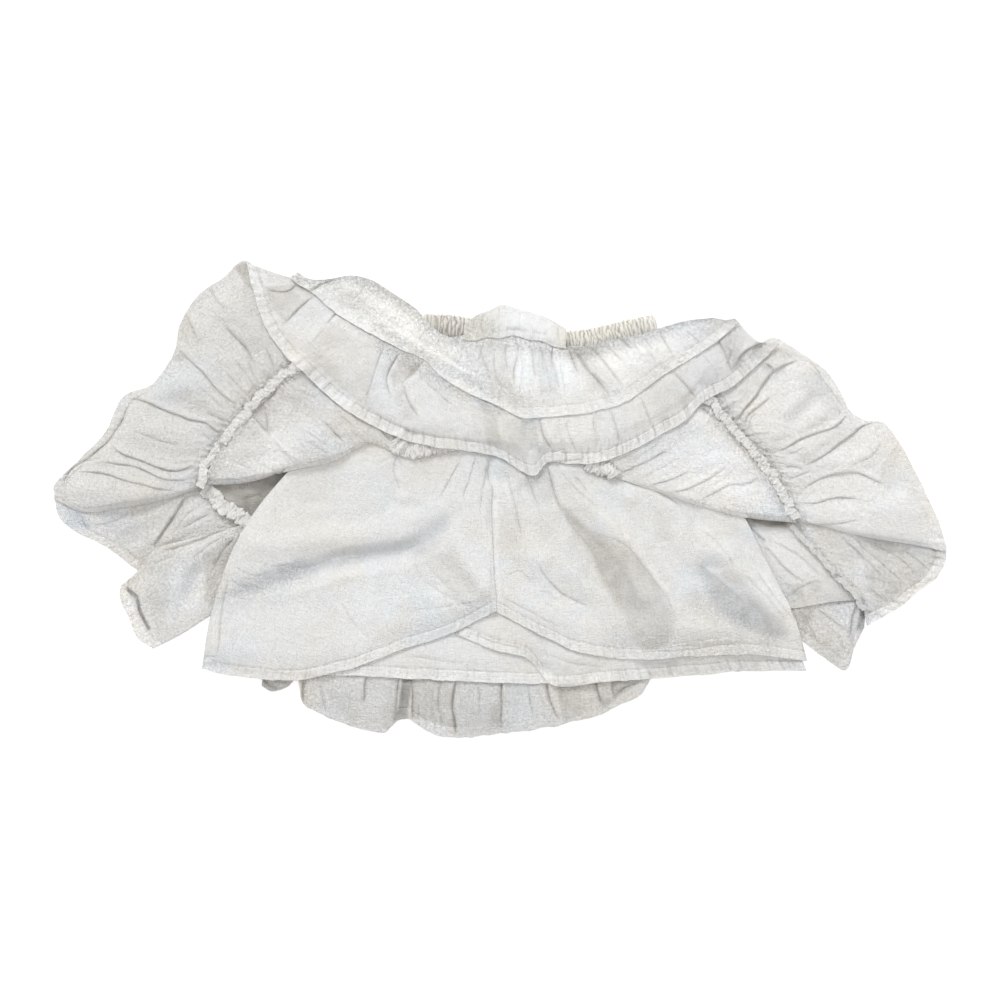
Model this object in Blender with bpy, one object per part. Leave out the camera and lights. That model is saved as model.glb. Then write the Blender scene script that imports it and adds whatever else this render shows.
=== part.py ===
# Cotton ruffle skirt with built-in shorts, laid out flat with its front lifted.
#
# The garment lies on a metre-square mat.  Every plan position below is a real
# distance on that mat in millimetres: x from its left edge, y from its far edge
# towards the wearer's hem.  The pieces are laid one after another, lowest first,
# and each one rests on the height of all that was laid before it.

import math
from collections import namedtuple

import bmesh
import bpy
import numpy as np

# Driving sizes, millimetres
WALL = 1.5              # cloth with its slack, as one wall
SEAM_GAP = 0.3          # free space between two pieces that touch
HEM_WIDTH = 12.0        # turned and stitched hem
HEM_STEP = 0.7          # extra height of the doubled hem
HEM_SLOPE = 2.0         # distance over which the hem's step rises
RIDGE_WIDTH = 14.0      # gathered seam allowance that stands up inside the skirt
RIDGE_HEIGHT = 4.2
RIDGE_PITCH = 5.6       # one gather of the seam ridge
DRAWN_WIDTH = 0.86      # a ridge's width and height where a gather draws it in
DRAWN_HEIGHT = 0.62
RIDGE_END = 0.45        # a ridge's size at its ends, and its growth per station
RIDGE_GROWTH = 0.3
ELASTIC_WIDTH = 23.0
ELASTIC_HEIGHT = 6.0
ELASTIC_PITCH = 4.8     # one gather of the elastic waist
BAND_WALL = 2.4         # flat waistband, two layers pressed together
FOLD_RADIUS = 9.0       # rounding of a fold's edge
FOLD_DEPTH = 1.35       # folds against their listed rise
FOLD_LEAST = 7.5        # narrowest fold that a solid carries
SHORTS_LOFT = 3.0       # how far each layer stands off the one below
FLOUNCE_LOFT = 4.5
TIER_LOFT = 3.0
RUFFLE_LOFT = 2.0
BAND_LOFT = 1.5
FOLD_LOFT = 0.3         # share of the loft that is left at a folded edge
SEAT_REACH = 24.0       # distance from a sewn edge over which a layer rises
CORE_HEIGHT = 5.5       # layers pushed up beneath the ruffles
CORE_RIM = 22.0         # distance over which they rise
CORE_WALL = 1.2         # their height at the rim
CELL = 2.0              # step of the height grid
MAT_X, MAT_Y = 1000.0, 1000.0
STEEPEST = 0.45         # least upward part of a wall's normal
PASSES = 14             # how far cloth bridges from one height to the next
FLAT_PASSES = 2         # the same for a panel that lies flat on the table

# A ridge's cross-section: reach to the side and share of the height.
ARCH = ((-0.8, 0.62), (0.0, 1.0), (0.8, 0.62))

# One fold: a ridge (rise over 0) or a trough (rise under 0) along a line.
Fold = namedtuple("Fold", "x0 y0 x1 y1 rise width")
# One broad swelling of a panel.
Swell = namedtuple("Swell", "x y rise reach")

CLOTH = (0.80, 0.79, 0.77, 1.0)
CLOTH_SHADED = (0.72, 0.71, 0.70, 1.0)
CREAM = (0.76, 0.73, 0.62, 1.0)
RIDGE = (0.84, 0.83, 0.80, 1.0)


# -- curves ------------------------------------------------------------------

def through(values, knots, at):
    """Smooth curve through values at the knots, read at the places in at."""
    values = np.asarray(values, float)
    knots = np.asarray(knots, float)
    spread = (len(knots),) + (1,) * (values.ndim - 1)
    slopes = np.gradient(values, knots, axis=0) if len(knots) > 2 else None
    if slopes is None:
        slopes = np.repeat((values[1:] - values[:1]) / (knots[1] - knots[0]), 2, axis=0)
    low = np.clip(np.searchsorted(knots, at, side="right") - 1, 0, len(knots) - 2)
    step = (knots[low + 1] - knots[low]).reshape((-1,) + spread[1:])
    t = ((at - knots[low]) / (knots[low + 1] - knots[low])).reshape((-1,) + spread[1:])
    rise = t * t * (3 - 2 * t)
    return (values[low] * (1 - rise) + values[low + 1] * rise
            + slopes[low] * step * t * (1 - t) ** 2
            - slopes[low + 1] * step * t * t * (1 - t))


def chord_knots(points):
    """Distance along the points, from 0 at the first."""
    steps = np.linalg.norm(np.diff(points, axis=0), axis=1)
    return np.concatenate([[0.0], np.cumsum(steps)])


def read_section(points, fractions_for_length):
    """Points along one section, where fractions_for_length places them."""
    points = np.asarray(points, float)
    knots = chord_knots(points)
    fine = np.linspace(0, knots[-1], 200)
    curve = through(points, knots, fine)
    run = chord_knots(curve)
    wanted = fractions_for_length(run[-1]) * run[-1]
    return np.stack([np.interp(wanted, run, curve[:, k]) for k in range(2)], axis=1)


def even(count):
    """Evenly spaced places across a section."""
    return lambda length: np.linspace(0, 1, count)


def hemmed(count, covered=0.0, few=0):
    """Few places on the covered share, even ones past it, then the hem's two."""
    def places(length):
        stitch = max(1 - HEM_WIDTH / length, 0.6)
        inner = np.linspace(covered, stitch - min(HEM_SLOPE / length, 0.1), count - 2)
        start = np.linspace(0, covered, few, endpoint=False)
        return np.concatenate([start, inner, [stitch, 1.0]])
    return places


def panel_plan(sections, across, rows, round_last=False):
    """Plan grid of a panel from its sections, rows by columns by (x, y)."""
    read = np.stack([read_section(points, across) for points in sections])
    spacing = np.linalg.norm(np.diff(read, axis=0), axis=2).mean(axis=1)
    knots = np.concatenate([[0.0], np.cumsum(spacing)])
    if not round_last:
        return through(read, knots, np.linspace(0.0, knots[-1], rows))
    middle = np.linspace(0.0, knots[-1] - FOLD_RADIUS * 2, rows)
    close = knots[-1] - FOLD_RADIUS * np.array([1.0, 0.45, 0.12, 0.0])
    return through(read, knots, np.concatenate([middle, close]))


# -- heights -----------------------------------------------------------------

def spread_max(field):
    """Each cell takes the largest of itself and its eight neighbours."""
    padded = np.pad(field, 1, mode="edge")
    rows, columns = field.shape
    shifted = [padded[i:i + rows, j:j + columns] for i in range(3) for j in range(3)]
    return np.max(shifted, axis=0)


def sample_cells(plan, height):
    """Points inside each cell's two triangles, with a mask of the lower one."""
    edge = max(np.linalg.norm(np.diff(plan, axis=k), axis=2).max() for k in range(2))
    count = int(math.ceil(edge / (0.6 * CELL))) + 2
    a, b = np.meshgrid(np.linspace(0, 1, count), np.linspace(0, 1, count), indexing="ij")
    corners = np.dstack([plan, height])
    p00, p10 = corners[:-1, :-1, None, None], corners[1:, :-1, None, None]
    p01, p11 = corners[:-1, 1:, None, None], corners[1:, 1:, None, None]
    a, b = a[..., None], b[..., None]
    low = p00 + a * (p10 - p00) + b * (p01 - p00)
    high = p11 + (1 - a) * (p01 - p11) + (1 - b) * (p10 - p11)
    is_low = (a + b) <= 1.0
    return np.where(is_low, low, high), is_low[..., 0]


class Pile:
    """Height of everything laid so far, over the mat."""

    def __init__(self):
        self.height = np.zeros((int(MAT_Y / CELL), int(MAT_X / CELL)))

    def cells(self, points):
        row = np.clip((points[..., 1] / CELL).astype(int), 0, self.height.shape[0] - 1)
        column = np.clip((points[..., 0] / CELL).astype(int), 0, self.height.shape[1] - 1)
        return row, column

    def needed(self, plan):
        """Least height at each point of the plan that clears the pile."""
        samples, is_low = sample_cells(plan, np.zeros(plan.shape[:2]))
        found = spread_max(self.height)[self.cells(samples)]
        low = np.where(is_low, found, 0).max(axis=(2, 3))
        high = np.where(~is_low, found, 0).max(axis=(2, 3))
        both = np.maximum(low, high)
        need = np.zeros(plan.shape[:2])
        for rows, columns, value in (
                (slice(0, -1), slice(0, -1), low), (slice(1, None), slice(1, None), high),
                (slice(1, None), slice(0, -1), both), (slice(0, -1), slice(1, None), both)):
            need[rows, columns] = np.maximum(need[rows, columns], value)
        return need

    def spare(self, plan, under):
        """Least clearance of a surface above the pile."""
        samples, _ = sample_cells(plan, under)
        return (samples[..., 2] - self.height[self.cells(samples)]).min()

    def cover(self, plan, top):
        """Add a laid surface, with the gap that the next piece keeps."""
        samples, _ = sample_cells(plan, top)
        np.maximum.at(self.height, self.cells(samples), samples[..., 2] + SEAM_GAP)


def bridge(need, passes):
    """Cloth's own fall between high places, never below need."""
    height = need.copy()
    for _ in range(passes):
        padded = np.pad(height, 1, mode="edge")
        around = (padded[:-2, 1:-1] + padded[2:, 1:-1] + padded[1:-1, :-2] + padded[1:-1, 2:]) / 4
        height = np.maximum(need, 0.35 * height + 0.65 * around)
    return height


def fold_field(plan, folds):
    """Height of the ridges and troughs at each point of the plan."""
    field = np.zeros(plan.shape[:2])
    for fold in folds:
        start = np.array([fold.x0, fold.y0], float)
        run = np.array([fold.x1, fold.y1], float) - start
        along = np.clip(((plan - start) @ run) / (run @ run), 0, 1)
        away = np.linalg.norm(plan - start - along[..., None] * run, axis=2)
        width = max(fold.width, FOLD_LEAST)
        field += fold.rise * FOLD_DEPTH * np.exp(-(away / width) ** 2)
    return field


def swell_field(plan, swells):
    """Height of the broad swellings at each point of the plan."""
    field = np.zeros(plan.shape[:2])
    for swell in swells:
        away = np.linalg.norm(plan - np.array([swell.x, swell.y]), axis=2)
        field += swell.rise * np.exp(-(away / swell.reach) ** 2)
    return field


def quarter_round(distance, radius):
    """0 at an edge and 1 past the radius, along a quarter circle."""
    inside = 1 - np.clip(distance / radius, 0, 1)
    return np.sqrt(1 - inside ** 2)


def from_edge(plan, axis, last):
    """Distance of each point from the grid's first or last row or column."""
    grid = plan if axis == 0 else plan.transpose(1, 0, 2)
    grid = grid[::-1] if last else grid
    steps = np.linalg.norm(np.diff(grid, axis=0), axis=2)
    run = np.concatenate([np.zeros((1, grid.shape[1])), np.cumsum(steps, axis=0)])
    run = run[::-1] if last else run
    return run if axis == 0 else run.T


def from_seam(plan, last=False):
    """Share of a panel's lift, which starts at 0 along its sewn edge."""
    share = np.clip(from_edge(plan, 1, last) / SEAT_REACH, 0, 1)
    return share * share * (3 - 2 * share)


# -- solids ------------------------------------------------------------------

def upward_part(plan, height):
    """Upward part of the surface's unit normal at each point."""
    surface = np.dstack([plan, height])
    normal = np.cross(np.gradient(surface, axis=0), np.gradient(surface, axis=1))
    return np.abs(normal[..., 2]) / np.linalg.norm(normal, axis=2)


def cloth_material(name, colour):
    material = bpy.data.materials.new(name)
    material.use_nodes = True
    shader = material.node_tree.nodes["Principled BSDF"]
    shader.inputs["Base Color"].default_value = colour
    shader.inputs["Roughness"].default_value = 0.9
    shader.inputs["Metallic"].default_value = 0.0
    return material


def to_world(points):
    """Mat millimetres to metres about the mat's centre, far edge at +Y."""
    x = (points[:, 0] - MAT_X / 2) / 1000
    y = (MAT_Y / 2 - points[:, 1]) / 1000
    return np.stack([x, y, points[:, 2] / 1000], axis=1)


def add_solid(name, points, faces, colour):
    """One closed body from its points and faces, smooth with crisp rims."""
    mesh = bpy.data.meshes.new(name)
    mesh.from_pydata(to_world(points).tolist(), [], faces)
    work = bmesh.new()
    work.from_mesh(mesh)
    bmesh.ops.recalc_face_normals(work, faces=work.faces)
    work.to_mesh(mesh)
    work.free()
    mesh.shade_smooth()
    mesh.set_sharp_from_angle(angle=math.radians(50))
    mesh.materials.append(cloth_material(name, colour))
    solid = bpy.data.objects.new(name, mesh)
    bpy.context.scene.collection.objects.link(solid)
    return solid


def shell_faces(rows, columns):
    """Triangles of a grid's upper and lower face and the rim between them."""
    upper = rows * columns

    def at(i, j):
        return i * columns + j

    faces = []
    for i in range(rows - 1):
        for j in range(columns - 1):
            for a, b, c in ((at(i, j), at(i + 1, j), at(i, j + 1)),
                            (at(i + 1, j + 1), at(i, j + 1), at(i + 1, j))):
                faces.append((a, c, b))
                faces.append((upper + a, upper + b, upper + c))
    rim = [at(i, 0) for i in range(rows)]
    rim += [at(rows - 1, j) for j in range(1, columns)]
    rim += [at(i, columns - 1) for i in range(rows - 2, -1, -1)]
    rim += [at(0, j) for j in range(columns - 2, 0, -1)]
    for a, b in zip(rim, rim[1:] + rim[:1]):
        faces.append((a, b, upper + b))
        faces.append((a, upper + b, upper + a))
    return faces


def lay(pile, name, plan, lift, wall, colour, passes=PASSES):
    """Rest a panel on the pile: its underside first, then its upper face."""
    under = bridge(pile.needed(plan), passes) + np.clip(lift, 0, None)
    under = under - pile.spare(plan, under)
    top = under + wall / np.maximum(upward_part(plan, under), STEEPEST)
    rows, columns = plan.shape[:2]
    lower = np.dstack([plan, under]).reshape(-1, 3)
    upper = np.dstack([plan, top]).reshape(-1, 3)
    solid = add_solid(name, np.vstack([lower, upper]), shell_faces(rows, columns), colour)
    pile.cover(plan, top)
    return solid


def hem_wall(plan):
    """Wall with the doubled hem along the last column."""
    return WALL + HEM_STEP * (from_edge(plan, 1, last=True) <= HEM_WIDTH + 0.01)


def plain_wall(plan):
    return np.full(plan.shape[:2], WALL)


def lay_ridge(pile, name, path, width, height, pitch, colour, per_gather=2):
    """A gathered ridge along a path: a low round bead drawn in at each gather."""
    path = np.asarray(path, float)
    length = chord_knots(path)[-1]
    gathers = max(2, int(round(length / pitch)))
    stations = gathers * per_gather + 1
    centre = read_section(path, even(stations))
    along = np.gradient(centre, axis=0)
    along /= np.linalg.norm(along, axis=1)[:, None]
    side = np.stack([-along[:, 1], along[:, 0]], axis=1)
    full = np.array([1.0 if i % per_gather else 0.0 for i in range(stations)])
    from_end = np.minimum(np.arange(stations), np.arange(stations)[::-1])
    ends = np.minimum(1.0, RIDGE_END + from_end * RIDGE_GROWTH)
    half = width / 2 * (DRAWN_WIDTH + (1 - DRAWN_WIDTH) * full) * ends
    rise = height * (DRAWN_HEIGHT + (1 - DRAWN_HEIGHT) * full) * ends
    feet = np.stack([centre - side * half[:, None], centre + side * half[:, None]], axis=1)
    need = bridge(pile.needed(feet), 3)
    need = np.repeat(need.max(axis=1)[:, None], 2, axis=1)
    rings = []
    for i in range(stations):
        ring = [(*feet[i, 0], need[i, 0])]
        for reach, share in ARCH:
            spot = centre[i] + side[i] * half[i] * reach
            ring.append((*spot, need[i, 0] + rise[i] * share))
        ring.append((*feet[i, 1], need[i, 1]))
        rings.append(ring)
    size = len(rings[0])
    points = np.array(rings).reshape(-1, 3)
    faces = []
    for i in range(stations - 1):
        for j in range(size):
            a, b = i * size + j, i * size + (j + 1) % size
            faces.append((a, b, b + size))
            faces.append((a, b + size, a + size))
    for j in range(1, size - 1):
        faces.append((0, j + 1, j))
        last = (stations - 1) * size
        faces.append((last, last + j, last + j + 1))
    solid = add_solid(name, points, faces, colour)
    grid = np.array(rings)
    pile.cover(grid[..., :2], grid[..., 2])
    return solid


# -- back of the skirt, lowest ------------------------------------------------

def back_flounce_right_under(pile):
    """Corner of the back flounce that lies folded beneath the back tier."""
    sections = [  # seam, hem
        ((770, 585), (776, 622)),
        ((800, 590), (803, 641)),
        ((824, 590), (822, 656)),
        ((846, 588), (848, 670)),
        ((858, 590), (856, 646)),
        ((868, 594), (865, 628)),
    ]
    folds = [
        Fold(815, 608, 850, 635, -2.0, 6),
        Fold(822, 600, 858, 628, 3.0, 6),
        Fold(806, 612, 835, 655, 2.5, 8),
    ]
    plan = panel_plan(sections, hemmed(5), 9)
    return lay(pile, "back_flounce_right_under", plan, fold_field(plan, folds),
               hem_wall(plan), CLOTH_SHADED)


def back_flounce_left_outer(pile):
    """Back flounce at the left side, out to the skirt's side fold."""
    sections = [  # seam, middle, hem
        ((248, 532), (197, 551), (139, 573)),
        ((238, 521), (182, 538), (119, 557)),
        ((228, 511), (166, 524), (96, 542)),
        ((220, 498), (150, 509), (75, 532)),
        ((214, 484), (140, 496), (58, 516)),
        ((208, 472), (135, 482), (53, 497)),
    ]
    folds = [
        Fold(190, 500, 152, 532, -3.0, 6),
        Fold(178, 492, 140, 530, 4.0, 9),
        Fold(205, 505, 165, 540, 3.0, 8),
        Fold(150, 505, 105, 535, -1.5, 7),
        Fold(120, 505, 82, 520, 3.0, 9),
    ]
    plan = panel_plan(sections, hemmed(9), 10)
    lift = fold_field(plan, folds) * from_seam(plan)
    return lay(pile, "back_flounce_left_outer", plan, lift, hem_wall(plan), CLOTH_SHADED)


def back_flounce_centre(pile):
    """Back flounce where it shows below the shorts, in flat overlapping pleats."""
    sections = [  # seam, hem
        ((258, 612), (261, 685)),
        ((268, 612), (272, 693)),
        ((281, 613), (287, 687)),
        ((292, 614), (296, 680)),
        ((300, 615), (302, 703)),
        ((320, 616), (318, 713)),
        ((345, 617), (342, 724)),
        ((366, 618), (365, 731)),
        ((383, 619), (387, 731)),
        ((391, 620), (395, 722)),
        ((401, 620), (404, 719)),
        ((418, 620), (421, 728)),
        ((437, 620), (437, 737)),
        ((454, 620), (455, 739)),
        ((470, 620), (471, 737)),
        ((500, 620), (502, 733)),
        ((520, 620), (522, 732)),
        ((537, 619), (543, 729)),
        ((553, 618), (563, 725)),
        ((572, 617), (590, 719)),
        ((590, 615), (613, 709)),
        ((604, 613), (630, 702)),
        ((617, 610), (643, 692)),
        ((628, 606), (652, 677)),
    ]
    folds = [
        Fold(388, 676, 386, 731, 4.5, 8),
        Fold(403, 670, 404, 720, -3.5, 6),
        Fold(363, 670, 364, 712, 2.5, 5),
        Fold(350, 690, 352, 726, -1.0, 8),
        Fold(330, 676, 326, 712, 2.0, 8),
        Fold(420, 680, 425, 726, 2.0, 7),
        Fold(452, 675, 455, 738, 4.0, 7),
        Fold(464, 676, 464, 736, -2.0, 5),
        Fold(482, 680, 480, 732, 1.5, 8),
        Fold(498, 676, 499, 731, 3.2, 6),
        Fold(508, 680, 508, 731, -1.5, 5),
        Fold(546, 676, 554, 723, 3.4, 6),
        Fold(560, 680, 566, 720, -1.5, 5),
        Fold(580, 678, 586, 714, 1.5, 7),
        Fold(597, 676, 602, 708, 3.0, 6),
        Fold(618, 676, 628, 699, 2.0, 6),
        Fold(268, 670, 272, 692, 3.0, 7),
    ]
    plan = panel_plan(sections, hemmed(5), 47)
    return lay(pile, "back_flounce_centre", plan, fold_field(plan, folds),
               hem_wall(plan), CLOTH_SHADED)


def back_tier(pile):
    """Back base panel, flat on the table from the waist to its gathered seam."""
    sections = [  # left, middle, right
        ((432, 345), (545, 350), (660, 345)),
        ((350, 392), (530, 398), (708, 398)),
        ((272, 440), (515, 445), (752, 452)),
        ((201, 478), (505, 485), (778, 500)),
        ((214, 500), (505, 520), (796, 529)),
        ((243, 527), (505, 555), (830, 566)),
        ((282, 572), (505, 590), (856, 588)),
        ((318, 600), (505, 615), (866, 597)),
        ((338, 612), (400, 628), (500, 634), (600, 628), (700, 616), (800, 608), (835, 602), (866, 600)),
    ]
    folds = [
        Fold(808, 560, 836, 592, 2.0, 8),
        Fold(795, 560, 800, 600, -1.5, 8),
    ]
    plan = panel_plan(sections, even(15), 9)
    return lay(pile, "back_tier", plan, fold_field(plan, folds), plain_wall(plan), CLOTH,
               FLAT_PASSES)


def back_flounce_left_inner(pile):
    """Next stretch of the back flounce, turned over the outer one."""
    sections = [  # seam, middle, hem
        ((246, 524), (190, 538), (151, 552), (137, 571), (120, 586)),
        ((250, 536), (195, 552), (150, 573), (119, 598)),
        ((256, 550), (192, 576), (127, 616)),
        ((264, 566), (192, 596), (136, 637)),
        ((272, 582), (213, 614), (178, 636), (152, 649)),
    ]
    folds = [
        Fold(235, 527, 148, 562, 3.5, 7),
        Fold(240, 545, 190, 600, -2.0, 9),
        Fold(232, 540, 135, 600, 2.0, 12),
        Fold(250, 560, 175, 630, 3.5, 12),
    ]
    plan = panel_plan(sections, hemmed(10), 8)
    return lay(pile, "back_flounce_left_inner", plan, fold_field(plan, folds),
               hem_wall(plan), CLOTH)


def back_flounce_right(pile):
    """Back flounce at the right side, under the front's fold."""
    sections = [  # seam, middle, hem
        ((782, 512), (860, 526), (944, 545)),
        ((792, 524), (865, 541), (947, 555)),
        ((806, 540), (872, 556), (943, 567)),
        ((822, 557), (880, 572), (934, 581)),
        ((840, 575), (885, 586), (918, 593)),
        ((853, 590), (880, 599), (903, 605)),
        ((861, 600), (872, 609), (884, 617)),
        ((864, 609), (866, 618), (868, 627)),
    ]
    folds = [
        Fold(848, 532, 905, 587, 4.0, 7),
        Fold(862, 532, 920, 575, -2.5, 8),
        Fold(820, 540, 862, 590, 2.2, 8),
        Fold(850, 560, 880, 600, -1.5, 7),
        Fold(905, 552, 930, 575, 2.5, 7),
    ]
    plan = panel_plan(sections, hemmed(10), 11)
    return lay(pile, "back_flounce_right", plan, fold_field(plan, folds),
               hem_wall(plan), CLOTH_SHADED)


def back_seams(pile):
    """The back's gathered seam, where it shows at the left and the right."""
    left = [(212, 494), (223, 506), (236, 516), (250, 526)]
    right = [(786, 528), (806, 545), (830, 566), (852, 588), (870, 610)]
    stretches = (  # name, path, width, height and gather against the usual ridge
        ("back_seam_left", left, 1.3, 0.7, 1.0),
        ("back_seam_right", right, 1.0, 0.55, 1.6),
    )
    for name, path, wide, high, gather in stretches:
        lay_ridge(pile, name, path, RIDGE_WIDTH * wide, RIDGE_HEIGHT * high,
                  RIDGE_PITCH * gather, RIDGE)


def waistband_back(pile):
    """Elasticated back waistband, drawn into fine upright gathers."""
    path = [(423, 325), (446, 326), (472, 330), (502, 337), (537, 342), (576, 342),
            (602, 337), (632, 330), (657, 325)]
    return lay_ridge(pile, "waistband_back", path, ELASTIC_WIDTH, ELASTIC_HEIGHT,
                     ELASTIC_PITCH, CREAM)


# -- shorts --------------------------------------------------------------------

def shorts_back_left(pile):
    """Back of the left leg, showing where the front's hem curves up."""
    sections = [  # waist to hem, from the side to the crotch
        ((438, 352), (292, 480), (240, 560), (214, 620), (208, 660)),
        ((455, 352), (345, 500), (300, 590), (290, 672)),
        ((475, 352), (410, 500), (380, 590), (376, 677)),
        ((490, 352), (470, 500), (455, 590), (450, 681)),
        ((503, 352), (505, 500), (520, 600), (530, 684)),
        ((512, 352), (540, 500), (570, 600), (596, 683)),
    ]
    folds = [Fold(400, 655, 520, 662, 2.0, 14)]
    plan = panel_plan(sections, hemmed(8), 10)
    return lay(pile, "shorts_back_left", plan, fold_field(plan, folds), hem_wall(plan), CLOTH)


def shorts_back_right(pile):
    """Back of the right leg, lapped over the left one at the crotch."""
    sections = [  # waist to hem, from the crotch to the side
        ((497, 352), (478, 560), (456, 634)),
        ((504, 352), (492, 560), (476, 643)),
        ((511, 352), (508, 560), (500, 652)),
        ((517, 352), (525, 560), (526, 658)),
        ((523, 352), (540, 560), (552, 685)),
        ((534, 352), (575, 560), (600, 683)),
        ((552, 352), (620, 560), (660, 679)),
        ((590, 352), (690, 560), (740, 672)),
        ((640, 352), (738, 520), (780, 600), (807, 671)),
    ]
    folds = [
        Fold(468, 632, 530, 650, 2.5, 9),
        Fold(560, 640, 650, 668, 1.5, 9),
    ]
    plan = panel_plan(sections, hemmed(8), 13)
    return lay(pile, "shorts_back_right", plan, fold_field(plan, folds), hem_wall(plan), CLOTH)


def shorts_front_right(pile):
    """Front of the right leg, from the waist to its turned hem."""
    sections = [  # waist to hem, from the centre seam to the side
        ((492, 346), (484, 470), (486, 500), (489, 560), (493, 610)),
        ((505, 346), (515, 480), (520, 560), (528, 629)),
        ((520, 346), (550, 480), (563, 560), (574, 650)),
        ((540, 346), (592, 480), (613, 560), (634, 660)),
        ((565, 346), (640, 480), (670, 560), (690, 657)),
        ((595, 346), (692, 480), (725, 560), (750, 655)),
        ((632, 346), (742, 512), (774, 575), (794, 615), (808, 661)),
    ]
    folds = [
        Fold(548, 465, 552, 485, -2.0, 6),
        Fold(552, 485, 575, 520, -2.5, 8),
        Fold(575, 520, 615, 575, -3.0, 12),
        Fold(615, 575, 645, 640, -2.5, 16),
        Fold(560, 480, 640, 555, 4.0, 13),
        Fold(520, 470, 545, 560, 3.5, 13),
        Fold(508, 545, 530, 590, -2.5, 9),
        Fold(530, 590, 590, 608, -2.5, 8),
        Fold(535, 560, 600, 596, 2.5, 12),
        Fold(640, 500, 700, 560, 2.5, 14),
        Fold(700, 565, 735, 600, -3.0, 10),
        Fold(735, 600, 775, 640, -3.5, 12),
        Fold(712, 550, 790, 618, 4.0, 12),
        Fold(655, 590, 700, 640, 3.0, 14),
        Fold(750, 525, 790, 590, 2.0, 9),
    ]
    swells = [Swell(560, 610, 2.5, 40), Swell(700, 620, 3.0, 45), Swell(620, 520, 2.0, 50)]
    plan = panel_plan(sections, hemmed(15, 0.36, 2), 22)
    lift = SHORTS_LOFT + fold_field(plan, folds) + swell_field(plan, swells)
    return lay(pile, "shorts_front_right", plan, lift, hem_wall(plan), CLOTH)


def shorts_front_left(pile):
    """Front of the left leg, its centre seam lapped over the right leg."""
    sections = [  # waist to hem, from the side to the centre seam
        ((438, 346), (284, 476), (256, 510), (235, 545), (212, 610), (201, 669)),
        ((450, 346), (325, 480), (275, 560), (243, 640), (232, 676)),
        ((461, 346), (365, 480), (320, 560), (298, 640), (288, 681)),
        ((472, 346), (405, 480), (370, 560), (350, 625), (344, 671)),
        ((482, 346), (440, 480), (420, 560), (405, 610), (399, 651)),
        ((492, 346), (468, 480), (460, 560), (453, 600), (449, 634)),
        ((499, 346), (489, 470), (491, 500), (494, 560), (497, 611)),
    ]
    folds = [
        Fold(240, 575, 300, 564, -2.5, 10),
        Fold(300, 564, 400, 549, -3.5, 9),
        Fold(400, 549, 448, 524, -3.0, 8),
        Fold(255, 548, 400, 532, 3.5, 12),
        Fold(400, 532, 440, 515, 2.5, 10),
        Fold(415, 555, 432, 588, -2.5, 9),
        Fold(432, 588, 488, 608, -2.5, 9),
        Fold(330, 580, 405, 575, 3.0, 14),
        Fold(440, 545, 485, 595, 3.0, 12),
        Fold(365, 470, 360, 505, 2.5, 12),
        Fold(340, 600, 365, 640, -1.5, 10),
        Fold(300, 500, 330, 515, -1.5, 12),
    ]
    swells = [Swell(290, 630, 2.5, 40), Swell(400, 500, 2.5, 45), Swell(300, 510, 2.0, 40)]
    plan = panel_plan(sections, hemmed(15, 0.36, 2), 22)
    lift = SHORTS_LOFT + fold_field(plan, folds) + swell_field(plan, swells)
    return lay(pile, "shorts_front_left", plan, lift, hem_wall(plan), CLOTH)


# -- lifted front of the skirt -------------------------------------------------

def folded_edge(plan, least=0.0):
    """Share of a panel's lift, which comes down round its folded last row."""
    return least + (1 - least) * quarter_round(from_edge(plan, 0, last=True), FOLD_RADIUS)


def front_flounce_left(pile):
    """Front flounce at the left, wrong side up, its hem along the outer edge."""
    sections = [  # seam, middle, hem
        ((322, 352), (292, 312), (264, 278)),
        ((303, 368), (272, 318), (243, 260)),
        ((290, 375), (254, 328), (222, 277)),
        ((275, 384), (236, 340), (196, 296)),
        ((263, 396), (223, 357), (179, 324)),
        ((252, 410), (212, 378), (172, 356)),
        ((243, 420), (200, 399), (150, 384)),
        ((234, 434), (184, 416), (122, 397)),
        ((223, 446), (166, 433), (105, 430)),
        ((214, 459), (150, 456), (80, 458)),
        ((207, 473), (136, 478), (55, 482)),
        ((200, 488), (160, 501), (120, 508), (82, 512), (54, 500)),
    ]
    folds = [
        Fold(222, 323, 248, 352, -3.0, 5), Fold(248, 352, 257, 372, -2.5, 4),
        Fold(237, 312, 265, 352, 3.5, 7), Fold(205, 318, 240, 362, 3.5, 8),
        Fold(184, 312, 202, 347, -2.5, 5), Fold(178, 348, 200, 366, -2.0, 4),
        Fold(186, 338, 222, 376, 2.5, 6), Fold(265, 348, 276, 371, -2.0, 4),
        Fold(190, 370, 215, 386, -2.5, 5), Fold(215, 386, 238, 407, -2.0, 4),
        Fold(176, 366, 228, 402, 3.0, 7), Fold(165, 384, 225, 416, 2.5, 7),
        Fold(125, 397, 165, 410, -2.5, 5), Fold(165, 410, 222, 435, -2.5, 4),
        Fold(118, 410, 205, 434, 3.5, 8), Fold(108, 425, 190, 450, 2.0, 9),
        Fold(108, 441, 140, 460, -3.0, 5), Fold(140, 460, 195, 465, -2.5, 5),
        Fold(96, 452, 160, 470, 3.0, 7), Fold(100, 463, 190, 481, -2.5, 4),
        Fold(80, 466, 180, 486, 2.5, 6), Fold(70, 472, 130, 483, -2.0, 4),
        Fold(130, 483, 175, 492, -2.0, 4), Fold(66, 486, 150, 497, 3.0, 8),
    ]
    swells = [Swell(120, 480, 5.0, 45), Swell(200, 400, 2.0, 60), Swell(240, 300, 3.0, 35)]
    plan = panel_plan(sections, hemmed(11), 23, round_last=True)
    lift = FLOUNCE_LOFT + fold_field(plan, folds) + swell_field(plan, swells)
    return lay(pile, "front_flounce_left", plan, lift * folded_edge(plan),
               hem_wall(plan), CLOTH)


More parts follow.
